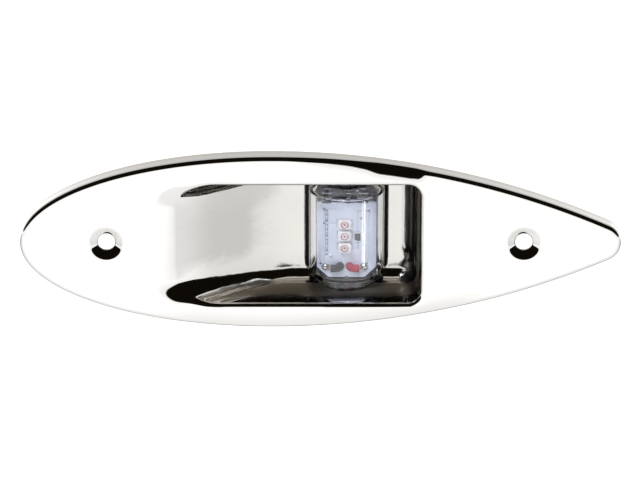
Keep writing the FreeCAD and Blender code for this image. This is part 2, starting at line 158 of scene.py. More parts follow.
def settle(piece: bpy.types.Object, smooth_angle: float | None = 35.0) -> bpy.types.Object:
    """Puts the object's place into its mesh and shades it smooth up to an angle.

    Args:
        piece: the object to settle.
        smooth_angle: in degrees, or None for flat faces.

    Returns:
        The same object, at the origin, unturned and unscaled.
    """
    pick(piece)
    bpy.ops.object.transform_apply(location=True, rotation=True, scale=True)
    if smooth_angle is not None:
        bpy.ops.object.shade_smooth_by_angle(angle=math.radians(smooth_angle))
    return piece


def outward(piece: bpy.types.Object, merge: float = 1e-7) -> None:
    """Merges doubles and turns every face of a closed shape outwards."""
    with editing(piece):
        bpy.ops.mesh.select_all(action="SELECT")
        bpy.ops.mesh.remove_doubles(threshold=merge)
        bpy.ops.mesh.normals_make_consistent(inside=False)


def face_front(piece: bpy.types.Object) -> None:
    """Turns the faces of an open sheet so that, taken together, they look forwards."""
    with editing(piece) as form:
        bpy.ops.mesh.select_all(action="SELECT")
        bpy.ops.mesh.normals_make_consistent(inside=False)
        form.normal_update()
        if sum(face.normal.y * face.calc_area() for face in form.faces) > 0:
            bpy.ops.mesh.flip_normals()


def block(low: Point, high: Point) -> bpy.types.Object:
    """A box between two corners, in millimetres, in the light's own axes."""
    deselect()
    middle = [(a + b) / 2 * MM for a, b in zip(low, high)]
    bpy.ops.mesh.primitive_cube_add(size=1.0, location=middle)
    box = bpy.context.object
    box.scale = [(b - a) * MM for a, b in zip(low, high)]
    bpy.ops.object.transform_apply(location=True, rotation=True, scale=True)
    return box


def round_edges(
    piece: bpy.types.Object,
    size: float,
    segments: int,
    test: Callable[[bmesh.types.BMEdge], bool],
) -> None:
    """Bevels the edges that pass a test.

    Args:
        piece: the object.
        size: the bevel's width in millimetres.
        segments: how many facets it has.
        test: says whether an edge is wanted.
    """
    with editing(piece):
        choose(piece, Element.EDGE, test)
        bpy.ops.mesh.bevel(offset=size * MM, segments=segments, affect="EDGES")


def runs_along(axis: int) -> Callable[[bmesh.types.BMEdge], bool]:
    """A test for edges that run along one axis."""

    def test(edge: bmesh.types.BMEdge) -> bool:
        """Whether the edge runs along the axis."""
        way = edge.verts[1].co - edge.verts[0].co
        return abs(way[axis]) > 0.9 * way.length

    return test


def in_plane(axis: int, height: float) -> Callable[[bmesh.types.BMEdge], bool]:
    """A test for edges that lie in one plane, its height in millimetres."""

    def test(edge: bmesh.types.BMEdge) -> bool:
        """Whether the edge lies in the plane."""
        return all(abs(vertex.co[axis] - height * MM) < 1e-6 for vertex in edge.verts)

    return test


def chain(
    points: Sequence[tuple[float, float]], place: Callable[[float, float], Point]
) -> bpy.types.Object:
    """A line of edges through given points, made from one row of a grid.

    Args:
        points: pairs of numbers along the line.
        place: gives the place, in millimetres, of one pair.

    Returns:
        The line's object.
    """
    deselect()
    bpy.ops.mesh.primitive_grid_add(x_subdivisions=len(points) - 1, y_subdivisions=1, size=2.0)
    line = bpy.context.object
    with editing(line) as form:
        bmesh.ops.delete(form, geom=[v for v in form.verts if v.co.y > 0], context="VERTS")
        for vertex in form.verts:
            pair = points[round((vertex.co.x + 1) / 2 * (len(points) - 1))]
            vertex.co = Vector(place(*pair)) * MM
        bmesh.update_edit_mesh(line.data)
    return line


def spin(piece: bpy.types.Object, centre: Point, axis: Point, turn: float, steps: int) -> None:
    """Spins a line about an axis.

    Args:
        piece: the line.
        centre: a point on the axis, in millimetres.
        axis: the axis.
        turn: how far, in degrees.
        steps: in how many steps.
    """
    with editing(piece):
        bpy.ops.mesh.select_all(action="SELECT")
        bpy.ops.mesh.spin(
            steps=steps, angle=math.radians(turn), center=Vector(centre) * MM, axis=axis
        )
        bpy.ops.mesh.select_all(action="SELECT")
        bpy.ops.mesh.remove_doubles(threshold=1e-7)


def turned(
    profile: Sequence[tuple[float, float]], x: float, z: float, steps: int
) -> bpy.types.Object:
    """A form turned about a line along Y.

    Args:
        profile: pairs of radius and y, in millimetres.
        x: the line's place along the cover.
        z: the line's height.
        steps: facets round it.

    Returns:
        The turned object.
    """
    form = chain(profile, lambda radius, y: (x + radius, y, z))
    spin(form, (x, 0, z), (0, 1, 0), 360, steps)
    return form


def refined(node: str, bevel: float, angle: float = 30.0, segments: int = 2) -> bpy.types.Object:
    """A copy of a designed node with its edges eased.

    Args:
        node: the node's name.
        bevel: the easing's width in millimetres.
        angle: the least turn at an edge that is eased, in degrees.
        segments: facets on the easing.

    Returns:
        The new object.
    """
    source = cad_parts[node]
    piece = source.copy()
    piece.data = source.data.copy()
    piece.animation_data_clear()
    bpy.context.scene.collection.objects.link(piece)
    piece.hide_set(False)
    piece.hide_render = False
    with editing(piece):
        bpy.ops.mesh.select_all(action="SELECT")
        bpy.ops.mesh.remove_doubles(threshold=2e-6)
        bpy.ops.mesh.dissolve_limited(angle_limit=math.radians(1.0))
    apply(
        piece,
        "BEVEL",
        width=bevel * MM,
        segments=segments,
        limit_method="ANGLE",
        angle_limit=math.radians(angle),
        use_clamp_overlap=True,
    )
    return settle(piece, angle)


def hand_over(
    piece: bpy.types.Object,
    name: str,
    material: bpy.types.Material,
    slot: str,
    replaced: Iterable[str] = (),
) -> None:
    """Names and dresses a finished piece and fixes it to the light's body.

    Args:
        piece: the finished object.
        name: its name.
        material: its finish.
        slot: a material slot's name, not used.
        replaced: the CAD nodes it stands for.
    """
    piece.name = name
    piece.data.name = name
    piece.data.materials.clear()
    piece.data.materials.append(material)
    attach(piece, BODY)
    nodes = list(replaced)
    if nodes:
        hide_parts(*nodes)
    log.info("%s: %d faces", name, len(piece.data.polygons))


def keep(node: str, material: bpy.types.Material) -> None:
    """Gives a CAD node its finish.

    Args:
        node: the node's name.
        material: its finish.
    """
    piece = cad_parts[node]
    piece.data.materials.clear()
    piece.data.materials.append(material)
    log.info("%s: kept as designed", node)


# ---------------------------------------------------------------------------------------------
# Writing materials
# ---------------------------------------------------------------------------------------------


class Tree:
    """A short way to write a node tree."""

    def __init__(self, tree: bpy.types.NodeTree) -> None:
        """Takes the tree to write in."""
        self.tree = tree

    def add(
        self, kind: str, inputs: dict[object, object] | None = None, **settings: object
    ) -> bpy.types.Node:
        """Adds a node.

        Args:
            kind: the node's type.
            inputs: socket name or index, with a value or another node's output.
            settings: the node's own properties.

        Returns:
            The node.
        """
        node = self.tree.nodes.new(kind)
        for name, value in settings.items():
            setattr(node, name, value)
        for key, value in (inputs or {}).items():
            socket = node.inputs[key]
            if isinstance(value, bpy.types.NodeSocket):
                self.tree.links.new(value, socket)
            else:
                socket.default_value = value
        return node

    def ramp(
        self, value: bpy.types.NodeSocket, stops: Sequence[tuple[float, tuple]]
    ) -> bpy.types.NodeSocket:
        """Adds a colour ramp.

        Args:
            value: the socket it reads.
            stops: pairs of position and colour.

        Returns:
            The ramp's colour output.
        """
        node = self.add("ShaderNodeValToRGB", {"Fac": value})
        elements = node.color_ramp.elements
        while len(elements) < len(stops):
            elements.new(0.5)
        for element, (position, colour) in zip(elements, stops):
            element.position = position
            element.color = colour
        return node.outputs["Color"]

    def math(self, operation: str, *values: object) -> bpy.types.NodeSocket:
        """Adds a Math node and returns its output."""
        return self.add("ShaderNodeMath", dict(enumerate(values)), operation=operation).outputs[0]


@dataclass(frozen=True)
class Effect:
    """One input or output of a shared effect."""

    name: str
    kind: str = "NodeSocketFloat"
    default: float = 0.0


def effect_group(
    name: str, inputs: Sequence[Effect], outputs: Sequence[Effect]
) -> tuple[bpy.types.NodeTree, Tree, bpy.types.Node, bpy.types.Node]:
    """Starts a node group with named sockets.

    Args:
        name: the group's name.
        inputs: its inputs.
        outputs: its outputs.

    Returns:
        The group, its writer, its input node and its output node.
    """
    group = bpy.data.node_groups.new(name, "ShaderNodeTree")
    for effect in inputs:
        socket = group.interface.new_socket(effect.name, in_out="INPUT", socket_type=effect.kind)
        if effect.kind == "NodeSocketFloat":
            socket.default_value = effect.default
    for effect in outputs:
        group.interface.new_socket(effect.name, in_out="OUTPUT", socket_type=effect.kind)
    writer = Tree(group)
    return group, writer, writer.add("NodeGroupInput"), writer.add("NodeGroupOutput")


class SharedEffects:
    """The surface effects that more than one finish uses."""

    def __init__(self) -> None:
        """Builds the groups once."""
        self.handling = self._handling()
        self.grain = self._grain()

    def _handling(self) -> bpy.types.NodeTree:
        """Faint smears and hairline scratches of a surface that is handled."""
        group, write, given, out = effect_group(
            "handling marks",
            [Effect("Smear Size", default=120.0), Effect("Hair Size", default=900.0)],
            [Effect("Smears"), Effect("Hairlines")],
        )
        place = write.add("ShaderNodeTexCoord").outputs["Object"]
        cloud = write.add(
            "ShaderNodeTexNoise",
            {"Vector": place, "Scale": given.outputs["Smear Size"], "Detail": 4.0},
        )
        smears = write.ramp(cloud.outputs["Fac"], [(0.42, (0, 0, 0, 1)), (0.7, (1, 1, 1, 1))])
        drawn = write.add(
            "ShaderNodeMapping", {"Vector": place, "Rotation": (0.0, 0.5, 0.0), "Scale": (0.06, 1, 1)}
        )
        lines = write.add(
            "ShaderNodeTexNoise",
            {"Vector": drawn.outputs[0], "Scale": given.outputs["Hair Size"], "Detail": 3.0},
        )
        hair = write.ramp(lines.outputs["Fac"], [(0.5, (0, 0, 0, 1)), (0.75, (1, 1, 1, 1))])
        write.tree.links.new(smears, out.inputs["Smears"])
        write.tree.links.new(hair, out.inputs["Hairlines"])
        return group

    def _grain(self) -> bpy.types.NodeTree:
        """The fine cells of a moulded or foamed surface."""
        group, write, given, out = effect_group(
            "moulded grain", [Effect("Cell Size", default=2500.0)], [Effect("Height")]
        )
        place = write.add("ShaderNodeTexCoord").outputs["Object"]
        cells = write.add(
            "ShaderNodeTexVoronoi",
            {"Vector": place, "Scale": given.outputs["Cell Size"]},
            feature="SMOOTH_F1",
        )
        cloud = write.add(
            "ShaderNodeTexNoise",
            {"Vector": place, "Scale": given.outputs["Cell Size"], "Detail": 3.0},
        )
        both = write.math("MULTIPLY", cells.outputs["Distance"], cloud.outputs["Fac"])
        write.tree.links.new(both, out.inputs["Height"])
        return group


EFFECTS = SharedEffects()
Colour = tuple[float, float, float]


def rgba(colour: Colour) -> tuple[float, float, float, float]:
    """A colour with full alpha."""
    return (*colour, 1.0)


def new_material(name: str) -> tuple[bpy.types.Material, Tree, bpy.types.Node, bpy.types.Node]:
    """Starts a material.

    Args:
        name: the material's name.

    Returns:
        The material, its writer, its shader and its output node.
    """
    material = bpy.data.materials.new(name)
    material.use_nodes = True
    nodes = material.node_tree.nodes
    return material, Tree(material.node_tree), nodes["Principled BSDF"], nodes["Material Output"]


@dataclass(frozen=True)
class PolishedSteel:
    """Mirror-polished pressed stainless, a little less polished down in the pocket, where its colour is
    darkened as painted shade and tinted brown on the walls as a painted reflection.
    """

    colour: Colour = (0.80, 0.79, 0.775)
    # Painted shade for the pocket and a painted brown reflection for its walls, not the steel's own
    # colour.
    pocket_painted_shade: Colour = (0.635, 0.62, 0.59)
    wall_painted_reflection: Colour = (0.62, 0.56, 0.46)
    dull_colour: Colour = (0.55, 0.53, 0.50)
    roughness: float = 0.02
    pocket_roughness: float = 0.085
    pocket_depth: float = 2.0
    pocket_full: float = 9.0
    wall_roughness: float = 0.5

    def build(self, name: str) -> bpy.types.Material:
        """Makes the material."""
        material, write, shader, _ = new_material(name)
        face_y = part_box("cover_plate")[0].y
        place = write.add("ShaderNodeTexCoord").outputs["Object"]
        across = write.add("ShaderNodeSeparateXYZ", {0: place})
        inside = write.add(
            "ShaderNodeMapRange",
            {
                "Value": across.outputs["Y"],
                "From Min": face_y + self.pocket_depth * MM,
                "From Max": face_y + self.pocket_full * MM,
            },
            interpolation_type="SMOOTHSTEP",
        ).outputs[0]
        facing = write.add("ShaderNodeNewGeometry").outputs["True Normal"]
        forward = write.math("ABSOLUTE", write.add("ShaderNodeSeparateXYZ", {0: facing}).outputs["Y"])
        upright = write.add(
            "ShaderNodeMapRange",
            {"Value": forward, "From Min": 0.42, "From Max": 0.16},
            interpolation_type="SMOOTHSTEP",
        ).outputs[0]
        wall = write.math("MULTIPLY", upright, inside)
        marks = write.add("ShaderNodeGroup", node_tree=EFFECTS.handling)
        smear = write.math("MULTIPLY", marks.outputs["Smears"], 0.02)
        base = write.math("MULTIPLY_ADD", inside, self.pocket_roughness - self.roughness, self.roughness)
        mottled = write.math("MULTIPLY_ADD", marks.outputs["Smears"], -0.22, self.wall_roughness)
        rough = write.math("MULTIPLY_ADD", wall, mottled, write.math("ADD", base, smear))
        shader.inputs["Metallic"].default_value = 1.0
        write.tree.links.new(rough, shader.inputs["Roughness"])
        # Painted shade: the colour darkens with depth into the pocket. Painted reflection: the pocket
        # walls are tinted brown. The hairlines are real wear.
        colour = rgba(self.colour)
        for mask, below in (
            (inside, self.pocket_painted_shade),
            (wall, self.wall_painted_reflection),
            (write.math("MULTIPLY", marks.outputs["Hairlines"], 0.12), self.dull_colour),
        ):
            tint = write.add(
                "ShaderNodeMix", {"Factor": mask, "A": colour, "B": rgba(below)}, data_type="RGBA"
            )
            colour = tint.outputs["Result"]
        write.tree.links.new(colour, shader.inputs["Base Color"])
        orange_peel = write.add(
            "ShaderNodeTexNoise", {"Vector": place, "Scale": 190.0, "Detail": 2.0}
        )
        ripple = write.add(
            "ShaderNodeBump",
            {
                "Strength": write.math("MULTIPLY_ADD", inside, 0.35, 0.012),
                "Distance": 0.00025,
                "Height": orange_peel.outputs["Fac"],
            },
        )
        scratch = write.add(
            "ShaderNodeBump",
            {
                "Strength": 0.04,
                "Distance": 0.00001,
                "Height": marks.outputs["Hairlines"],
                "Normal": ripple.outputs[0],
            },
        )
        write.tree.links.new(scratch.outputs[0], shader.inputs["Normal"])
        return material


@dataclass(frozen=True)
class PlainMetal:
    """Plain bright metal: turned steel, tin plate, solder or copper."""

    colour: Colour
    roughness: float = 0.28
    marks: float = 0.12

    def build(self, name: str) -> bpy.types.Material:
        """Makes the material."""
        material, write, shader, _ = new_material(name)
        marks = write.add(
            "ShaderNodeGroup", {"Smear Size": 500.0, "Hair Size": 3000.0}, node_tree=EFFECTS.handling
        )
        rough = write.math("MULTIPLY_ADD", marks.outputs["Smears"], self.marks, self.roughness)
        shader.inputs["Metallic"].default_value = 1.0
        write.tree.links.new(rough, shader.inputs["Roughness"])
        darker = tuple(part * 0.8 for part in self.colour)
        tint = write.add(
            "ShaderNodeMix",
            {"Factor": marks.outputs["Hairlines"], "A": rgba(self.colour), "B": rgba(darker)},
            data_type="RGBA",
        )
        write.tree.links.new(tint.outputs["Result"], shader.inputs["Base Color"])
        bump = write.add(
            "ShaderNodeBump",
            {"Strength": 0.3, "Distance": 0.00003, "Height": marks.outputs["Hairlines"]},
        )
        write.tree.links.new(bump.outputs[0], shader.inputs["Normal"])
        return material


@dataclass(frozen=True)
class Moulded:
    """A moulded or cast polymer, from soft rubber to glossy vinyl."""

    colour: Colour
    second: Colour
    roughness: float = 0.5
    cell_size: float = 2500.0
    relief: float = 0.3
    relief_depth: float = 0.00006
    coat: float = 0.0
    cloud_size: float = 250.0

    def build(self, name: str) -> bpy.types.Material:
        """Makes the material."""
        material, write, shader, _ = new_material(name)
        marks = write.add("ShaderNodeGroup", {"Smear Size": self.cloud_size}, node_tree=EFFECTS.handling)
        grain = write.add("ShaderNodeGroup", {"Cell Size": self.cell_size}, node_tree=EFFECTS.grain)
        tint = write.add(
            "ShaderNodeMix",
            {"Factor": marks.outputs["Smears"], "A": rgba(self.colour), "B": rgba(self.second)},
            data_type="RGBA",
        )
        write.tree.links.new(tint.outputs["Result"], shader.inputs["Base Color"])
        rough = write.math("MULTIPLY_ADD", marks.outputs["Smears"], 0.1, self.roughness)
        write.tree.links.new(rough, shader.inputs["Roughness"])
        shader.inputs["Coat Weight"].default_value = self.coat
        bump = write.add(
            "ShaderNodeBump",
            {
                "Strength": self.relief,
                "Distance": self.relief_depth,
                "Height": grain.outputs["Height"],
            },
        )
        write.tree.links.new(bump.outputs[0], shader.inputs["Normal"])
        return material


@dataclass(frozen=True)
class ClearPlastic:
    """Clear moulded polycarbonate or silicone that lets light in to what it covers."""

    colour: Colour = (0.93, 0.95, 1.0)
    ior: float = 1.55
    roughness: float = 0.0
    waviness: float = 0.02

    def build(self, name: str) -> bpy.types.Material:
        """Makes the material."""
        material, write, shader, out = new_material(name)
        shader.inputs["Metallic"].default_value = 0.0
        shader.inputs["Transmission Weight"].default_value = 1.0
        shader.inputs["IOR"].default_value = self.ior
        marks = write.add("ShaderNodeGroup", {"Smear Size": 260.0}, node_tree=EFFECTS.handling)
        haze = write.math("MULTIPLY_ADD", marks.outputs["Smears"], 0.012, self.roughness)
        write.tree.links.new(haze, shader.inputs["Roughness"])
        tint = write.add(
            "ShaderNodeMix",
            {
                "Factor": marks.outputs["Smears"],
                "A": rgba(self.colour),
                "B": rgba(tuple(part * 0.97 for part in self.colour)),
            },
            data_type="RGBA",
        )
        write.tree.links.new(tint.outputs["Result"], shader.inputs["Base Color"])
        place = write.add("ShaderNodeTexCoord").outputs["Object"]
        flow = write.add("ShaderNodeTexNoise", {"Vector": place, "Scale": 140.0, "Detail": 1.0})
        bump = write.add(
            "ShaderNodeBump",
            {"Strength": self.waviness, "Distance": 0.0005, "Height": flow.outputs["Fac"]},
        )
        write.tree.links.new(bump.outputs[0], shader.inputs["Normal"])
        through = write.add("ShaderNodeBsdfTransparent", {"Color": rgba(self.colour)})
        ray = write.add("ShaderNodeLightPath")
        mixed = write.add(
            "ShaderNodeMixShader",
            {0: ray.outputs["Is Shadow Ray"], 1: shader.outputs[0], 2: through.outputs[0]},
        )
        write.tree.links.new(mixed.outputs[0], out.inputs["Surface"])
        return material


class Finishes:
    """Every finish on the light, built once."""

    def __init__(self) -> None:
        """Builds the materials."""
        self.steel = PolishedSteel().build("polished_steel")
        self.stud_steel = PlainMetal((0.62, 0.61, 0.6), 0.3).build("stud_steel")
        self.tin = PlainMetal((0.78, 0.78, 0.77), 0.22).build("tin_plate")
        self.gold = PlainMetal((0.85, 0.62, 0.3), 0.25).build("bond_wire")
        self.copper = PlainMetal((0.78, 0.5, 0.36), 0.3).build("stranded_copper")
        self.lens = ClearPlastic().build("clear_polycarbonate")
        self.resin = ClearPlastic((1.0, 0.94, 0.93), 1.42, 0.0, 0.0).build("clear_silicone")
        self.foam = Moulded(
            (0.035, 0.035, 0.036), (0.06, 0.06, 0.06), 0.9, 1100.0, 1.0, 0.0003
        ).build("foam")
        self.rubber = Moulded(
            (0.014, 0.014, 0.015), (0.03, 0.03, 0.03), 0.55, 3500.0, 0.35
        ).build("rubber")
        self.housing = Moulded(
            (0.02, 0.02, 0.021), (0.032, 0.032, 0.034), 0.42, 2600.0, 0.6
        ).build("housing_plastic")
        self.potting = Moulded(
            (0.012, 0.013, 0.02), (0.02, 0.02, 0.028), 0.12, 400.0, 0.1, 0.0002, 0.6
        ).build("potting")
        self.mask = Moulded(
            (0.80, 0.83, 0.90), (0.76, 0.79, 0.87), 0.3, 5000.0, 0.1, 0.00002, 0.3
        ).build("solder_mask")
        self.led_white = Moulded(
            (0.93, 0.88, 0.86), (0.9, 0.84, 0.82), 0.4, 6000.0, 0.15, 0.00002
        ).build("led_body")
        self.led_cup = Moulded(
            (0.94, 0.82, 0.79), (0.92, 0.78, 0.75), 0.35, 6000.0, 0.1, 0.00002
        ).build("led_cup")
        self.die = Moulded(
            (0.16, 0.012, 0.02), (0.25, 0.03, 0.035), 0.2, 9000.0, 0.1, 0.00001, 0.5
        ).build("die")
        self.glaze = Moulded(
            (0.05, 0.05, 0.055), (0.08, 0.08, 0.085), 0.2, 6000.0, 0.1, 0.00001, 0.5
        ).build("resistor_glaze")
        self.ink = Moulded(
            (0.26, 0.28, 0.34), (0.34, 0.36, 0.42), 0.6, 8000.0, 0.1, 0.00001
        ).build("ink")
        self.track = Moulded(
            (0.70, 0.73, 0.80), (0.66, 0.69, 0.77), 0.3, 5000.0, 0.1, 0.00002, 0.3
        ).build("masked_copper")
        self.black_vinyl = Moulded(
            (0.02, 0.02, 0.024), (0.035, 0.035, 0.04), 0.3, 3000.0, 0.2
        ).build("black_vinyl")
        self.red_vinyl = Moulded(
            (0.42, 0.012, 0.05), (0.5, 0.025, 0.06), 0.3, 3000.0, 0.2
        ).build("red_vinyl")


# ---------------------------------------------------------------------------------------------
# The cover
# ---------------------------------------------------------------------------------------------


def smooth(low: float, high: float, value: np.ndarray) -> np.ndarray:
    """A smooth step from 0 at low to 1 at high."""
    part = np.clip((value - low) / (high - low), 0.0, 1.0)
    return part * part * (3 - 2 * part)


def inner_round(a: np.ndarray, b: np.ndarray, radius: object) -> np.ndarray:
    """Where two walls of a hollow meet, with a fillet between them."""
    both = (a < radius) & (b < radius)
    rounded = radius - np.sqrt((radius - a) ** 2 + (radius - b) ** 2)
    return np.where(both, rounded, np.minimum(a, b))


def outer_round(a: np.ndarray, b: np.ndarray, radius: object) -> np.ndarray:
    """Where two open spaces meet over an edge, with the edge rounded."""
    both = (a > -radius) & (b > -radius)
    rounded = np.sqrt((radius + a) ** 2 + (radius + b) ** 2) - radius
    return np.where(both, rounded, np.maximum(a, b))


def resample(path: np.ndarray, density: np.ndarray, count: int) -> np.ndarray:
    """Points along a dense path, closer together where the density is higher.

    Args:
        path: dense points, one row each.
        density: how closely to space points at each dense point.
        count: how many points to return, both ends included.

    Returns:
        The chosen points, one row each.
    """
    steps = np.linalg.norm(np.diff(path[:, :2], axis=0), axis=1)
    weight = np.concatenate([[0.0], np.cumsum(steps * (density[1:] + density[:-1]) / 2)])
    wanted = np.linspace(0.0, weight[-1], count)
    return np.stack([np.interp(wanted, weight, column) for column in path.T], axis=1)


@dataclass
class Teardrop:
    """The cover's outline in plan, in millimetres: an elliptical nose, two flanks and a round tail."""

    length: float
    width: float
    nose_x: float
    nose_run: float = 75.0
    tail_radius: float = 6.0

    def dense(self, start: float, end: float, count: int = 4000) -> np.ndarray:
        """The upper or lower half of the outline between two shares of its length.

        Args:
            start: 0 at the nose, 1 at the tail.
            end: the other end, in the same measure.
            count: how many points.

        Returns:
            Rows of x, z, normal x, normal z and radius of curvature, for the upper half.
        """
        half = self.width / 2
        nose_end = self.nose_x + self.nose_run
        tail_x = self.nose_x + self.length - self.tail_radius
        run = tail_x - nose_end
        flank = (run**2 + half**2 - self.tail_radius**2) / (2 * (half - self.tail_radius))
        lean = math.atan2(run, flank - half)
        pieces = []
        angle = np.linspace(0, math.pi / 2, count)
        along, across = np.cos(angle) * self.nose_run, np.sin(angle) * half
        normal = np.stack([-along / self.nose_run**2, across / half**2], axis=1)
        normal /= np.linalg.norm(normal, axis=1)[:, None]
        bend = (self.nose_run**2 * np.sin(angle) ** 2 + half**2 * np.cos(angle) ** 2) ** 1.5
        pieces.append(np.column_stack([nose_end - along, across, normal, bend / (self.nose_run * half)]))
        angle = np.linspace(0, lean, count)[1:]
        normal = np.stack([np.sin(angle), np.cos(angle)], axis=1)
        centre = np.array([nose_end, half - flank])
        pieces.append(np.column_stack([centre + flank * normal, normal, np.full(len(angle), flank)]))
        angle = np.linspace(lean, math.pi / 2, count)[1:]
        normal = np.stack([np.sin(angle), np.cos(angle)], axis=1)
        centre = np.array([tail_x, 0.0])
        radius = self.tail_radius
        pieces.append(np.column_stack([centre + radius * normal, normal, np.full(len(angle), radius)]))
        whole = np.concatenate(pieces)
        first, last = self.nose_x + start * self.length, self.nose_x + end * self.length
        inside = (whole[:, 0] >= first - 1e-9) & (whole[:, 0] <= last + 1e-9)
        return whole[inside]


@dataclass
class Cover:
    """The pressed cover plate with its scoop pocket and screw dimples. Sizes are in millimetres."""

    finishes: Finishes
    sheet: float = 0.9
    bend: float = 1.3
    start_x: float = -45.0
    land_x: float = -14.2
    end_x: float = 31.7
    half: float = 19.0
    depth: float = 17.8
    draft: float = 3.0
    side_fillet: float = 4.0
    left_side_fillet: float = 7.0
    end_fillet: float = 6.2
    ramp_fillet: float = 3.9
    ramp_bowl: float = 0.0165
    land_bowl: float = 0.008
    lip: float = 1.3
    ramp_lip: float = 2.1
    lens_x: float = 9.5
    lens_r: float = 11.4
    lens_half: float = 17.1
    lens_chamfer: float = 3.7
    aperture_gap: float = 0.4
    aperture_lip: float = 1.2
    pocket_drop: float = 0.55
    screw_x: float = 62.5
    screw_r: float = 2.6
    dimple_r: float = 5.4
    dimple_lip: float = 1.4
    dimple_flat: float = 7.6
    dimple_slope: float = 36.0
    dimple_sides: int = 72
    roll_width: float = 4.9
    roll_curve: float = 0.083
    lower_roll_width: float = 6.0
    lower_roll_curve: float = 0.02
    side_count: int = 76
    corner_count: int = 14
    left_count: int = 50
    right_count: int = 60

    def __post_init__(self) -> None:
        """Reads the plate's size from the frame."""
        low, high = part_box("cover_plate")
        self.face_y = low.y / MM
        self.height = -low.y / MM
        self.outline = Teardrop((high.x - low.x) / MM, (high.z - low.z) / MM, low.x / MM)
        self.ramp = math.atan2(self.depth, self.land_x - self.start_x)

    def space(self, x: np.ndarray, z: np.ndarray, d: np.ndarray) -> np.ndarray:
        """How far a point is into open space, positive in front of the metal.

        Args:
            x: along the cover.
            z: up the cover.
            d: depth behind the face.

        Returns:
            The signed measure.
        """
        z = z + self.pocket_drop
        slope = math.tan(math.radians(self.draft))
        lean = math.cos(math.radians(self.draft))
        side = (self.half - d * slope - np.abs(z)) * lean
        end = (self.end_x - d * slope - x) * lean
        floor = (x - self.start_x - d / math.tan(self.ramp)) * math.sin(self.ramp)
        run = inner_round(floor, self.depth - d, self.ramp_fillet) - self.bowl(x, z)
        run = inner_round(run, end, self.end_fillet)
        widening = smooth(-14.0, self.start_x, x)
        fillet = self.side_fillet + (self.left_side_fillet - self.side_fillet) * widening
        pocket = inner_round(run, side, fillet)
        edge = self.lip + (self.ramp_lip - self.lip) * smooth(-37.0, -43.0, x)
        return outer_round(-d, pocket, edge)

    def bowl(self, x: np.ndarray, z: np.ndarray) -> np.ndarray:
        """How far the floor rises towards the pocket's sides, as it is pressed a little hollow."""
        away = np.abs(z)
        ramp = self.ramp_bowl / 2 * np.maximum(away - 5.0, 0.0) ** 2
        land = self.land_bowl / 2 * np.maximum(away - 8.0, 0.0) ** 2
        share = smooth(-9.0, -16.0, x)
        return (ramp * share + land * (1 - share)) * smooth(self.start_x, -34.0, x)

    def aperture_drop(self, x: np.ndarray, z: np.ndarray) -> np.ndarray:
        """How far the land turns down at the edge of the lens opening."""
        wide, high, slanted = self.opening_sizes()
        along, up = np.abs(x - self.lens_x), np.abs(z)
        away = np.maximum.reduce([along - wide, up - high, (along + up - slanted) / math.sqrt(2)])
        inside = np.clip(self.aperture_lip - away, 0.0, self.aperture_lip * 0.97)
        return self.aperture_lip - np.sqrt(self.aperture_lip**2 - inside**2)

    def opening_sizes(self) -> tuple[float, float, float]:
        """The lens opening's half width, half height and the reach of its slanted sides."""
        wide, high = self.lens_r + self.aperture_gap, self.lens_half + self.aperture_gap
        cut = self.lens_chamfer - self.aperture_gap * math.tan(math.pi / 8) + self.aperture_gap
        return wide, high, wide + high - cut

    def pocket_depth(self, x: np.ndarray, z: np.ndarray) -> np.ndarray:
        """How deep the pressed surface lies at each point, by halving."""
        low = np.full(x.shape, -0.5)
        high = np.full(x.shape, self.depth + 2.0)
        for _ in range(40):
            middle = (low + high) / 2
            empty = self.space(x, z, middle) > 0
            low = np.where(empty, middle, low)
            high = np.where(empty, high, middle)
        return low

    def roll(self, x: np.ndarray, z: np.ndarray) -> np.ndarray:
        """How far the face rolls back near its upper edge, above the lens."""
        half = self.outline.width / 2
        nose_end = self.outline.nose_x + self.outline.nose_run
        run = self.outline.length - self.outline.nose_run - self.outline.tail_radius
        flank = (run**2 + half**2 - self.outline.tail_radius**2) / (2 * (half - self.outline.tail_radius))
        inset = np.maximum(flank - np.hypot(x - nose_end, np.abs(z) - half + flank), 0.0)
        low = self.lower_roll_curve / 2 * np.maximum(self.lower_roll_width - inset, 0.0) ** 2
        low = np.where(z < 0, low * smooth(-60.0, -30.0, x) * (1 - smooth(38.0, 60.0, x)), 0.0)
        inset = np.where(z > 0, inset, 99.0)
        reach = 0.45 * smooth(-12.0, 8.0, x) + 0.15 * smooth(8.0, 15.0, x) + 0.4 * smooth(14.0, 19.0, x)
        reach = reach * (1 - smooth(29.5, 34.5, x))
        width = self.roll_width * np.sqrt(reach)
        return self.roll_curve / 2 * np.maximum(width - inset, 0.0) ** 2 + low

    def mouth(self, inset: float) -> np.ndarray:
        """The pocket's mouth drawn in by an inset, as a closed ring from the upper left, clockwise."""
        left = self.start_x + 3.5 * inset
        right = self.end_x - inset
        top = self.half - inset
        wide, tall, radius = 9.0, 6.5, 5.0
        turn = np.linspace(0, math.pi / 2, self.corner_count, endpoint=False)
        upper = np.linspace(left + wide, right - radius, self.side_count, endpoint=False)
        parts = [np.stack([upper, np.full(len(upper), top)], 1)]
        parts.append(
            np.stack([right - radius + radius * np.sin(turn), top - radius + radius * np.cos(turn)], 1)
        )
        down = np.linspace(top - radius, radius - top, self.right_count, endpoint=False)
        parts.append(np.stack([np.full(len(down), right), down], 1))
        parts.append(
            np.stack([right - radius + radius * np.cos(turn), radius - top - radius * np.sin(turn)], 1)
        )
        parts.append(np.stack([upper[::-1], np.full(len(upper), -top)], 1))
        parts[-1][:, 0] += (right - radius - left - wide) / self.side_count
        parts.append(np.stack([left + wide - wide * np.sin(turn), tall - top - tall * np.cos(turn)], 1))
        rise = np.linspace(tall - top, top - tall, self.left_count, endpoint=False)
        parts.append(np.stack([np.full(len(rise), left), rise], 1))
        parts.append(np.stack([left + wide - wide * np.cos(turn), top - tall + tall * np.sin(turn)], 1))
        return np.concatenate(parts) - np.array([0.0, self.pocket_drop])

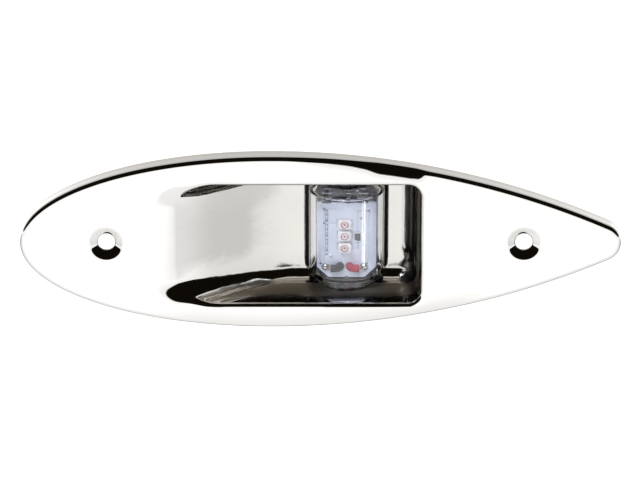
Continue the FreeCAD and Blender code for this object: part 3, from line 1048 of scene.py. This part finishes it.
    def rim(self) -> np.ndarray:
        """The outline's points that match the mouth's, with their normals, in the same order."""
        left_share, right_share = 0.22, 0.72
        ends = self.corner_count
        half_left = self.left_count // 2 + ends
        half_right = self.right_count // 2 + ends

        def spaced(start: float, end: float, count: int) -> np.ndarray:
            """Points along a stretch of the outline, closer where it curves."""
            dense = self.outline.dense(start, end)
            density = 1 / np.clip(0.1 * dense[:, 4], 0.4, 1.6)
            return resample(dense[:, :4], density, count + 1)

        nose = spaced(0.0, left_share, half_left)
        middle = spaced(left_share, right_share, self.side_count)
        tail = spaced(right_share, 1.0, half_right)
        upper = np.concatenate([middle[:-1], tail[:-1]])
        flip = np.array([1, -1, 1, -1])
        lower = np.concatenate([tail[1:][::-1] * flip, middle[1:][::-1] * flip])
        nose_low = nose[1:][::-1] * flip
        return np.concatenate([upper, lower, nose_low, nose[:-1]])

    def aperture(self, ring: np.ndarray) -> np.ndarray:
        """Where lines from the lens's middle to a ring cross the edge of the lens opening."""
        wide, high, slanted = self.opening_sizes()
        away = ring - np.array([self.lens_x, 0.0])
        share = np.maximum.reduce(
            [
                np.abs(away[:, 0]) / wide,
                np.abs(away[:, 1]) / high,
                (np.abs(away[:, 0]) + np.abs(away[:, 1])) / slanted,
            ]
        )
        return np.array([self.lens_x, 0.0]) + away / share[:, None]

    def rings(self) -> np.ndarray:
        """Every ring of the outer surface, from the skirt's edge to the lens opening.

        Returns:
            An array of rings by points by x, depth and z.
        """
        rim = self.rim()
        edge, normal = rim[:, :2], rim[:, 2:4]
        rows: list[np.ndarray] = []

        def add(plan: np.ndarray, depth: object) -> None:
            """Adds one ring."""
            rows.append(np.column_stack([plan[:, 0], np.broadcast_to(depth, len(plan)), plan[:, 1]]))

        for depth in np.linspace(self.height, self.bend, 7)[:-1]:
            add(edge, depth)
        for angle in np.linspace(0, math.pi / 2, 9):
            inset = self.bend * (1 - math.cos(angle))
            add(edge - normal * inset, self.bend * (1 - math.sin(angle)))
        skirt_rows = len(rows)

        start = edge - normal * self.bend
        outside = self.mouth(-1.0)
        for share in np.linspace(0, 1, 22)[1:]:
            mixed = 0.75 * share**2.2 + 0.25 * share
            add(start + (outside - start) * mixed, 0.0)
        for inset in -1.0 + 1.05 * np.sin(np.linspace(0, math.pi / 2, 13)[1:]):
            add(self.mouth(inset), 0.0)
        for inset in np.linspace(0.05, 1.3, 17)[1:]:
            add(self.mouth(inset), 0.0)

        inner = self.mouth(1.3)
        opening = self.aperture(inner)
        lines = np.linspace(0, 1, 400)
        count = 46
        grid = np.zeros((count, len(inner), 2))
        for j, (a, b) in enumerate(zip(inner, opening)):
            path = a + (b - a) * lines[:, None]
            run = np.linalg.norm(b - a)
            near = lines * run
            crease = np.exp(-(((path[:, 0] - self.land_x) / 4.0) ** 2))
            density = 1 / 1.6 + 2.6 * np.exp(-near / 3.0) + 0.5 * crease
            density += 2.8 * np.exp(-(((run - near) / 1.6) ** 2))
            grid[:, j] = resample(path, density, count + 1)[1:]
        for row in grid:
            add(row, 0.0)

        rings = np.array(rows)
        pressed = rings[skirt_rows:]
        along, up = pressed[:, :, 0], pressed[:, :, 2]
        pressed[:, :, 1] = self.pocket_depth(along, up) + self.aperture_drop(along, up)
        back = np.clip(1 - rings[:, :, 1] / self.height, 0.0, 1.0)
        rings[:, :, 1] += self.roll(rings[:, :, 0], rings[:, :, 2]) * back
        return rings

    def pressed_sheet(self) -> bpy.types.Object:
        """The outer surface as one sheet: a grid wrapped round the rings."""
        rings = self.rings()
        rows, columns = rings.shape[:2]
        deselect()
        bpy.ops.mesh.primitive_grid_add(x_subdivisions=columns, y_subdivisions=rows - 1, size=2.0)
        sheet = bpy.context.object
        flat = np.zeros(len(sheet.data.vertices) * 3)
        sheet.data.vertices.foreach_get("co", flat)
        flat = flat.reshape(-1, 3)
        column = np.rint((flat[:, 0] + 1) / 2 * columns).astype(int) % columns
        row = np.rint((flat[:, 1] + 1) / 2 * (rows - 1)).astype(int)
        chosen = rings[row, column]
        places = np.column_stack([chosen[:, 0], chosen[:, 1] + self.face_y, chosen[:, 2]]) * MM
        sheet.data.vertices.foreach_set("co", places.ravel())
        sheet.data.update()
        with editing(sheet):
            bpy.ops.mesh.select_all(action="SELECT")
            bpy.ops.mesh.remove_doubles(threshold=1e-7)
        return sheet

    def dimple(self, side: float) -> bpy.types.Object:
        """One pressed screw dimple, spun round its hole, out to the flat face.

        Args:
            side: -1 for the nose end, 1 for the tail end.

        Returns:
            The dimple's outer surface.
        """
        slope = math.radians(self.dimple_slope)
        profile = [(self.dimple_flat, 0.0), (self.dimple_r + 0.4, 0.0)]
        for turn in np.linspace(0, slope, 9):
            radius = self.dimple_r - self.dimple_lip * math.sin(turn)
            profile.append((radius, self.dimple_lip * (1 - math.cos(turn))))
        edge_r, edge_d = profile[-1]
        hole_lip = 0.3
        rise = edge_r - self.screw_r - hole_lip
        for share in (0.33, 0.67, 1.0):
            profile.append((edge_r - rise * share, edge_d + rise * share * math.tan(slope)))
        foot = profile[-1][1]
        profile.append((self.screw_r + hole_lip * 0.3, foot + hole_lip * 0.5))
        profile.append((self.screw_r, foot + hole_lip * 1.3))
        profile.append((self.screw_r, foot + hole_lip * 2.6))
        shape = [(radius, depth + self.face_y) for radius, depth in profile]
        return turned(shape, side * self.screw_x, 0.0, self.dimple_sides)

    def build(self) -> None:
        """Presses the sheet, lets the dimples into it and gives it its thickness."""
        sheet = self.pressed_sheet()
        clear = self.dimple_flat + 0.5
        centres = [side * self.screw_x * MM for side in (-1, 1)]

        def over_a_dimple(face: bmesh.types.BMFace) -> bool:
            """Whether the face reaches into a dimple."""
            spots = [vertex.co for vertex in face.verts] + [face.calc_center_median()]
            return any(math.hypot(p.x - x, p.z) < clear * MM for p in spots for x in centres)

        with editing(sheet):
            choose(sheet, Element.FACE, over_a_dimple)
            bpy.ops.mesh.delete(type="FACE")
        plate = join([sheet, self.dimple(-1), self.dimple(1)])
        for centre in centres:

            def beside(edge: bmesh.types.BMEdge) -> bool:
                """Whether the edge borders this dimple's gap."""
                middle = (edge.verts[0].co + edge.verts[1].co) / 2
                away = math.hypot(middle.x - centre, middle.z)
                return edge.is_boundary and 5.0 * MM < away < 16.0 * MM

            with editing(plate):
                choose(plate, Element.EDGE, beside)
                bpy.ops.mesh.fill(use_beauty=True)
        face_front(plate)
        apply(plate, "SOLIDIFY", thickness=self.sheet * MM, offset=-1.0, use_even_offset=False)
        settle(plate, 40.0)
        apply(plate, "WEIGHTED_NORMAL", keep_sharp=True, weight=80)
        hand_over(plate, "pressed_cover", self.finishes.steel, "polished_steel", ["cover_plate"])
        keep("hull_gasket", self.finishes.foam)


# ---------------------------------------------------------------------------------------------
# The lens unit
# ---------------------------------------------------------------------------------------------


@dataclass
class LensUnit:
    """The clear lens with its gasket, seal, rear housing, filling and grommet."""

    finishes: Finishes
    wall: float = 2.0
    radius: float = 11.4
    half: float = 17.1
    chamfer: float = 3.7
    flange_thick: float = 1.6
    flange_corner: float = 10.0
    flange_round: float = 0.3
    corner_round: float = 0.45
    stud_hole: float = 1.7
    stud_r: float = 1.5
    thread_root: float = 1.22
    thread_pitch: float = 0.5
    thread_length: float = 7.6
    steps: int = 72

    def __post_init__(self) -> None:
        """Reads the lens's place from the frame."""
        low, high = (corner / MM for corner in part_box("lens"))
        self.low, self.high = low, high
        self.x = (low.x + high.x) / 2
        self.axis_y = low.y + self.radius
        studs_low, studs_high = (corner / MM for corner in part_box("weld_studs"))
        self.studs = [
            (x, z)
            for x in (studs_low.x + self.stud_r, studs_high.x - self.stud_r)
            for z in (studs_low.z + self.stud_r, studs_high.z - self.stud_r)
        ]

    def outline(self, grow: float) -> list[tuple[float, float]]:
        """The right half of the lens's outline, with rounded corners, drawn out by grow."""
        slope = grow * math.tan(math.pi / 8)
        short, wide = self.radius - self.chamfer + slope, self.radius + grow
        low, high = self.half - self.chamfer + slope, self.half + grow
        corners = [(0.0, high), (short, high), (wide, low), (wide, -low), (short, -high), (0.0, -high)]
        radius = self.corner_round
        reach = radius * math.tan(math.pi / 8)
        points = [corners[0]]
        for before, corner in zip(corners, corners[1:-1]):
            into = (Vector(corner) - Vector(before)).normalized()
            start = Vector(corner) - into * reach
            inward = Vector((into.y, -into.x))
            centre = start + inward * radius
            for share in (0, 0.25, 0.5, 0.75, 1):
                turn = -math.pi / 4 * share
                spoke = -inward
                spoke.rotate(Matrix.Rotation(turn, 2))
                points.append(tuple(centre + spoke * radius))
        points.append(corners[-1])
        return points

    def form(self, grow: float, back_y: float) -> bpy.types.Object:
        """A closed solid in the lens's shape: a half-turned front and a straight neck.

        Args:
            grow: how far it stands out from the lens's own outline.
            back_y: where the neck ends.

        Returns:
            The solid.
        """
        solid = chain(self.outline(grow), lambda r, z: (self.x + r, self.axis_y, z))
        spin(solid, (self.x, self.axis_y, 0), (0, 0, 1), 180, self.steps)
        with editing(solid):
            choose(solid, Element.EDGE, lambda edge: edge.is_boundary)
            bpy.ops.mesh.extrude_region_move(
                TRANSFORM_OT_translate={"value": (0, (back_y - self.axis_y) * MM, 0)}
            )
            choose(solid, Element.EDGE, lambda edge: edge.is_boundary)
            bpy.ops.mesh.edge_face_add()
        outward(solid)
        return solid

    def lens(self) -> None:
        """The lens: a clear shell on a flange with four stud holes."""
        back = self.high.y
        shell = self.form(0.0, back - self.flange_thick / 2)
        front = back - self.flange_thick
        flange = block((self.low.x, front, self.low.z), (self.high.x, back, self.high.z))
        round_edges(flange, self.flange_corner, 12, runs_along(1))
        round_edges(flange, self.flange_round, 2, in_plane(1, front))
        tools = [(flange, "UNION"), (self.form(-self.wall, back + 1), "DIFFERENCE")]
        for x, z in self.studs:
            deselect()
            bpy.ops.mesh.primitive_cylinder_add(
                vertices=40,
                radius=self.stud_hole * MM,
                depth=4 * self.flange_thick * MM,
                location=(x * MM, back * MM, z * MM),
                rotation=(math.pi / 2, 0, 0),
            )
            tools.append((bpy.context.object, "DIFFERENCE"))
        for tool, operation in tools:
            apply(shell, "BOOLEAN", object=tool, operation=operation, solver="EXACT")
            bpy.data.objects.remove(tool)
        settle(shell, 32.0)
        hand_over(shell, "clear_lens", self.finishes.lens, "clear_lens", ["lens"])

    def locating_ribs(self) -> None:
        """The clear moulded ribs that hold the board at its upper edge and its foot."""
        board_low, board_high = (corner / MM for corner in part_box("circuit_board"))
        front = self.low.y + self.wall
        ribs = []
        for x, width in ((-5.6, 2.6), (0.4, 1.4), (4.6, 3.0)):
            low = (self.x + x - width / 2, front + 3.4, board_high.z + 0.7)
            high = (self.x + x + width / 2, board_high.y, self.half - self.wall - 1.6)
            rib = block(low, high)
            round_edges(rib, 0.35, 3, lambda edge: True)
            ribs.append(rib)
        spur = block(
            (self.x - 0.6, front + 4.6, -self.half + self.wall + 0.3),
            (self.x + 0.6, board_low.y - 1.4, board_low.z + 1.1),
        )
        round_edges(spur, 0.3, 3, lambda edge: True)
        hand_over(settle(join([*ribs, spur])), "lens_ribs", self.finishes.lens, "clear_lens")

    def rear(self) -> None:
        """The gasket, seal, housing, filling and grommet, with eased edges."""
        for node, name, bevel, material, slot in (
            ("lens_gasket", "lens_gasket_moulding", 0.12, self.finishes.rubber, "black_rubber"),
            ("housing_seal", "housing_seal_moulding", 0.12, self.finishes.rubber, "black_rubber"),
            ("back_housing", "rear_housing", 0.3, self.finishes.housing, "black_housing"),
            ("wire_grommet", "grommet", 0.25, self.finishes.rubber, "black_rubber"),
            ("stud_nuts", "hex_nuts", 0.12, self.finishes.stud_steel, "stud_steel"),
            ("stud_washers", "plain_washers", 0.08, self.finishes.stud_steel, "stud_steel"),
        ):
            hand_over(refined(node, bevel), name, material, slot, [node])
        keep("potting_compound", self.finishes.potting)

    def studs_with_threads(self) -> None:
        """The four weld studs, each with a cut thread, copied from one."""
        low, high = (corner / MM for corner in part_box("weld_studs"))
        radius, root, pitch = self.stud_r, self.thread_root, self.thread_pitch
        thread_start, end = high.y - self.thread_length, high.y - 0.35
        x, z = self.studs[0]
        shank = turned(
            [
                (0.0, low.y),
                (radius, low.y),
                (radius, thread_start + 0.2),
                (root, thread_start + 0.5),
                (root, end),
                (0.95, high.y),
                (0.0, high.y),
            ],
            x,
            z,
            32,
        )
        outward(shank)
        turns = math.floor((end - thread_start) / pitch) - 1
        ridge = chain(
            [(1.2, 0.0), (radius, pitch * 0.45), (radius, pitch * 0.55), (1.2, pitch)],
            lambda r, y: (x + r, thread_start + 0.2 + y, z),
        )
        marker = self.pivot(x, z)
        apply(
            ridge,
            "SCREW",
            axis="Y",
            angle=2 * math.pi,
            screw_offset=pitch * MM,
            iterations=turns,
            steps=28,
            render_steps=28,
            use_merge_vertices=True,
            merge_threshold=1e-7,
            object=marker,
        )
        outward(ridge)
        stud = join([shank, ridge])
        studs = [stud]
        for other_x, other_z in self.studs[1:]:
            studs.append(copy_of(stud, Vector((other_x - x, 0, other_z - z)) * MM))
        hand_over(
            settle(join(studs), 35.0), "threaded_studs", self.finishes.stud_steel, "stud_steel",
            ["weld_studs"],
        )
        bpy.data.objects.remove(marker)

    def pivot(self, x: float, z: float) -> bpy.types.Object:
        """An empty on one stud's axis, for the thread to wind round."""
        deselect()
        bpy.ops.object.empty_add(location=(x * MM, 0, z * MM))
        return bpy.context.object

    def build(self) -> None:
        """Makes and dresses the unit."""
        self.lens()
        self.locating_ribs()
        self.rear()
        self.studs_with_threads()


@dataclass
class LightBoard:
    """The circuit board with its LEDs, resistor, pads and wires."""

    finishes: Finishes
    cup_r: float = 1.2
    cup_floor_r: float = 1.0
    cup_depth: float = 0.5
    die: float = 0.45
    ink_high: float = 0.03
    track_high: float = 0.05

    def __post_init__(self) -> None:
        """Reads the board's place from the frame."""
        self.low, self.high = (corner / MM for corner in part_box("circuit_board"))
        self.front = self.low.y
        self.x = (self.low.x + self.high.x) / 2
        led_low, led_high = (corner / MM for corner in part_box("led_bodies"))
        self.led_front, self.led_x = led_low.y, (led_low.x + led_high.x) / 2
        self.led_wide, self.led_tall = led_high.x - led_low.x, 2.8
        first = led_high.z - self.led_tall / 2
        last = led_low.z + self.led_tall / 2
        self.led_z = [first, (first + last) / 2, last]

    def leds(self) -> None:
        """Three LED packages: a white body with a shallow cup, a chip, its bond wires and resin."""
        x, z, front = self.led_x, self.led_z[0], self.led_front
        half_x, half_z = self.led_wide / 2, self.led_tall / 2
        body = block((x - half_x, front, z - half_z), (x + half_x, self.front, z + half_z))
        round_edges(body, 0.12, 3, lambda edge: True)
        cup_profile = [(0.0, front + self.cup_depth), (self.cup_floor_r, front + self.cup_depth)]
        cup_profile += [(self.cup_r, front - 0.001), (self.cup_r, front - 0.2), (0.0, front - 0.2)]
        cutter = turned(cup_profile, x, z, 40)
        outward(cutter)
        apply(body, "BOOLEAN", object=cutter, operation="DIFFERENCE", solver="EXACT")
        bpy.data.objects.remove(cutter)
        half = self.die / 2
        floor = front + self.cup_depth - 0.02
        ring_profile = [(0.0, floor), (self.cup_floor_r - 0.01, floor)]
        ring_profile += [(self.cup_r - 0.02, front + 0.03), (self.cup_r, front + 0.03)]
        ring = turned(ring_profile, x, z, 40)
        outward(ring)
        chip = block((x - half, floor - 0.16, z - half), (x + half, floor, z + half))
        round_edges(chip, 0.04, 2, lambda edge: True)
        wires = []
        for side in (-1, 1):
            middle = x + side * 0.5
            wire = block((middle - 0.35, floor - 0.2, z - 0.03), (middle + 0.35, floor - 0.14, z + 0.03))
            round_edges(wire, 0.02, 2, lambda edge: True)
            wires.append(wire)
        gold = join(wires)
        fill_profile = [(0.0, floor - 0.015), (self.cup_floor_r - 0.04, floor - 0.015)]
        fill_profile += [(self.cup_r - 0.05, front + 0.06), (0.0, front + 0.02)]
        fill = turned(fill_profile, x, z, 40)
        outward(fill)
        leads = []
        for side in (-1, 1):
            end = x + side * (half_x + 0.07)
            lead = block((end - 0.09, self.front - 1.0, z - 1.1), (end + 0.09, self.front, z + 1.1))
            round_edges(lead, 0.05, 2, lambda edge: True)
            foot_x = x + side * (half_x + 0.2)
            foot = block((foot_x - 0.2, self.front - 0.15, z - 1.1), (foot_x + 0.2, self.front, z + 1.1))
            round_edges(foot, 0.05, 2, lambda edge: True)
            leads += [lead, foot]
        finishes = self.finishes
        for piece, name, material, slot, nodes in (
            (body, "led_packages", finishes.led_white, "white_plastic", ["led_bodies"]),
            (ring, "led_cups", finishes.led_cup, "white_plastic", []),
            (chip, "led_chips", finishes.die, "red_die", ["led_dies"]),
            (gold, "led_bond_wires", finishes.gold, "tin", []),
            (fill, "led_windows", finishes.resin, "clear_resin", ["led_resin"]),
            (join(leads), "led_terminals", finishes.tin, "tin", ["led_leads"]),
        ):
            row = [piece]
            for other in self.led_z[1:]:
                row.append(copy_of(piece, Vector((0, 0, other - z)) * MM))
            hand_over(settle(join(row), 35.0), name, material, slot, nodes)

    def bare_board(self) -> None:
        """The board with eased edges, its copper under the mask and its printed marks."""
        bare = refined("circuit_board", 0.08)
        hand_over(bare, "board", self.finishes.mask, "white_board", ["circuit_board"])
        tracks = []
        for x0, x1, z0, z1 in (
            (-6.9, -6.3, -9.0, 8.2),
            (-6.9, -2.9, 7.6, 8.2),
            (6.2, 6.8, -9.0, 7.6),
            (2.4, 6.8, 7.0, 7.6),
            (-6.9, -2.9, 3.1, 3.7),
            (1.9, 3.6, -5.0, -4.4),
            (3.0, 3.6, -4.6, -2.9),
            (3.0, 3.6, 0.9, 7.2),
        ):
            low = (self.x + x0, self.front - self.track_high, z0)
            high = (self.x + x1, self.front + 0.02, z1)
            track = block(low, high)
            round_edges(track, 0.03, 2, in_plane(1, low[1]))
            tracks.append(track)
        hand_over(settle(join(tracks), 35.0), "masked_tracks", self.finishes.track, "white_board")
        bars = []
        column = self.low.x + 2.3
        place = 7.7
        for count in range(19):
            tall = (0.55, 0.7, 0.4)[count % 3]
            for part in range(2 if count % 2 else 1):
                x0 = column + part * 0.6
                low = (x0, self.front - self.ink_high, place - tall)
                bar = block(low, (x0 + (0.35 if count % 2 else 0.95), self.front + 0.01, place))
                round_edges(bar, 0.02, 1, in_plane(1, low[1]))
                bars.append(bar)
            place -= 0.79
        for z in self.led_z:
            for side in (-1, 1):
                edge = self.led_x + side * 2.25
                low = (edge - 0.06, self.front - self.ink_high, z - 1.3)
                bar = block(low, (edge + 0.06, self.front + 0.01, z + 1.3))
                round_edges(bar, 0.02, 1, in_plane(1, low[1]))
                bars.append(bar)
        hand_over(settle(join(bars), None), "printed_marks", self.finishes.ink, "white_board")

    def small_parts(self) -> None:
        """The chip resistor with eased edges, the test pads and the solder joints."""
        finishes = self.finishes
        for node, name, bevel, material, slot in (
            ("resistor_body", "resistor", 0.05, finishes.glaze, "resistor_black"),
            ("resistor_caps", "resistor_ends", 0.08, finishes.tin, "tin"),
        ):
            hand_over(refined(node, bevel), name, material, slot, [node])
        keep("test_pads", finishes.tin)
        keep("solder_joints", finishes.tin)

    def wires(self) -> None:
        """The two lead wires and their bare ends."""
        finishes = self.finishes
        keep("black_wire_insulation", finishes.black_vinyl)
        keep("black_wire_core", finishes.copper)
        keep("red_wire_insulation", finishes.red_vinyl)
        keep("red_wire_core", finishes.copper)

    def build(self) -> None:
        """Makes and dresses the board."""
        self.bare_board()
        self.leds()
        self.small_parts()
        self.wires()


# ---------------------------------------------------------------------------------------------
# The studio
# ---------------------------------------------------------------------------------------------


@dataclass
class Studio:
    """A pale table far below, a soft room and the camera."""

    white: float = 1.25
    dark: Colour = (0.0045, 0.0035, 0.002)
    floor_drop: float = 0.35
    floor_radius: float = 4.0
    elevation: float = 22.0
    distance: float = 0.9
    target: Point = (0.00146, -0.0057, 0.00126)
    view_width: float = 0.1912

    def room(self) -> None:
        """Light all round, with the dark side of the room ahead of and over the light."""
        world = bpy.data.worlds.new("studio")
        bpy.context.scene.world = world
        world.use_nodes = True
        write = Tree(world.node_tree)
        place = write.add("ShaderNodeTexCoord").outputs["Generated"]
        way = write.add("ShaderNodeSeparateXYZ", {0: place})
        ahead = write.math("MULTIPLY", way.outputs["Y"], -1.0)
        angle = write.math("ARCTAN2", way.outputs["Z"], ahead)
        share = write.math("MULTIPLY_ADD", angle, 1 / (2 * math.pi), 0.5)

        def at(degrees: float) -> float:
            """A direction's place on the ramp."""
            return degrees / 360 + 0.5

        light, dark = (1, 1, 1, 1), rgba(self.dark)
        grey = (0.5, 0.495, 0.485, 1)
        colour = write.ramp(
            share,
            [
                (0.0, light),
                (at(-6), light),
                (at(-3), dark),
                (at(112), dark),
                (at(118), grey),
                (at(158), grey),
                (at(176), light),
            ],
        )
        background = world.node_tree.nodes["Background"]
        world.node_tree.links.new(colour, background.inputs["Color"])
        background.inputs["Strength"].default_value = self.white

    def table(self) -> None:
        """The pale table, far enough below to catch no cast shadow; it glows white, with painted shade in
        a band in front of the light and a painted dark band behind it.
        """
        deselect()
        bpy.ops.mesh.primitive_circle_add(
            vertices=96, radius=self.floor_radius, fill_type="NGON", location=(0, 0, -self.floor_drop)
        )
        floor = bpy.context.object
        floor.name = "table"
        material, write, shader, _ = new_material("pale_table")
        place = write.add("ShaderNodeTexCoord").outputs["Object"]
        cloud = write.add("ShaderNodeTexNoise", {"Vector": place, "Scale": 6.0, "Detail": 2.0})
        tint = write.ramp(cloud.outputs["Fac"], [(0.3, (0.9, 0.9, 0.9, 1)), (0.7, (0.93, 0.93, 0.93, 1))])
        write.tree.links.new(tint, shader.inputs["Base Color"])
        shader.inputs["Roughness"].default_value = 0.9
        shader.inputs["Specular IOR Level"].default_value = 0.0
        span = 2.0
        back = write.add("ShaderNodeSeparateXYZ", {0: place}).outputs["Y"]
        share = write.math("MULTIPLY_ADD", back, 1 / (2 * span), 0.5)

        def at(metres: float) -> float:
            """A distance's place on the ramp."""
            return metres / (2 * span) + 0.5

        # Painted shade on the table: a half-dark band from just in front of the light to well in front of
        # it, and a nearly black band behind it; the rest glows evenly white.
        full, painted_half_shade, painted_deep_shade = (0.95,) * 3 + (1,), (0.62,) * 3 + (1,), (0.02,) * 3 + (1,)
        stops = [(at(-0.78), full), (at(-0.5), painted_half_shade), (at(-0.05), painted_half_shade)]
        stops += [(at(0.1), painted_deep_shade), (at(0.46), painted_deep_shade), (at(0.54), full)]
        floor_glow_and_painted_shade = write.ramp(share, stops)
        shader.inputs["Emission Color"].default_value = (1, 1, 1, 1)
        write.tree.links.new(floor_glow_and_painted_shade, shader.inputs["Emission Strength"])
        floor.data.materials.append(material)

    def lamp(
        self, name: str, place: Point, size: float, watts: float, mirrored: bool
    ) -> bpy.types.Object:
        """One soft lamp aimed at the light.

        Args:
            name: its name.
            place: where it stands, in metres.
            size: how wide it is.
            watts: its power.
            mirrored: whether shiny surfaces show it.

        Returns:
            The lamp's object.
        """
        deselect()
        bpy.ops.object.light_add(type="AREA", location=place)
        lamp = bpy.context.object
        lamp.name = name
        lamp.data.shape = "DISK"
        lamp.data.size = size
        lamp.data.energy = watts
        lamp.rotation_euler = (Vector(self.target) - Vector(place)).to_track_quat("-Z", "Y").to_euler()
        lamp.visible_glossy = mirrored
        lamp.visible_camera = False
        return lamp

    def camera(self) -> None:
        """The camera, looking down a little at the light's face."""
        tilt = math.radians(self.elevation)
        back = Vector((0, -math.cos(tilt), math.sin(tilt)))
        data = bpy.data.cameras.new("camera")
        camera = bpy.data.objects.new("camera", data)
        bpy.context.scene.collection.objects.link(camera)
        camera.location = Vector(self.target) + back * self.distance
        camera.rotation_euler = (math.pi / 2 - tilt, 0, 0)
        data.sensor_width = 36.0
        data.lens = data.sensor_width * self.distance / self.view_width
        data.clip_start = 0.01
        data.clip_end = 20.0
        bpy.context.scene.camera = camera

    def build(self) -> None:
        """Sets up the studio."""
        scene = bpy.context.scene
        scene.view_settings.view_transform = "Standard"
        self.room()
        self.table()
        self.lamp("key", (-0.25, -0.6, 0.75), 0.5, 5.0, False)
        stripe = self.lamp("stripe", (0.62, -0.42, -0.30), 0.07, 1.3, True)
        stripe.data.shape = "RECTANGLE"
        stripe.data.size, stripe.data.size_y = 0.05, 0.5
        only_lens = bpy.data.collections.new("lens_only")
        only_lens.objects.link(bpy.data.objects["clear_lens"])
        stripe.light_linking.receiver_collection = only_lens
        self.camera()
        log.info("studio: ready")


def main() -> None:
    """Builds the light and its studio."""
    logging.basicConfig(level=logging.INFO, format="%(message)s")
    finishes = Finishes()
    Cover(finishes).build()
    LensUnit(finishes).build()
    LightBoard(finishes).build()
    Studio().build()


if __name__ == "__main__":
    main()
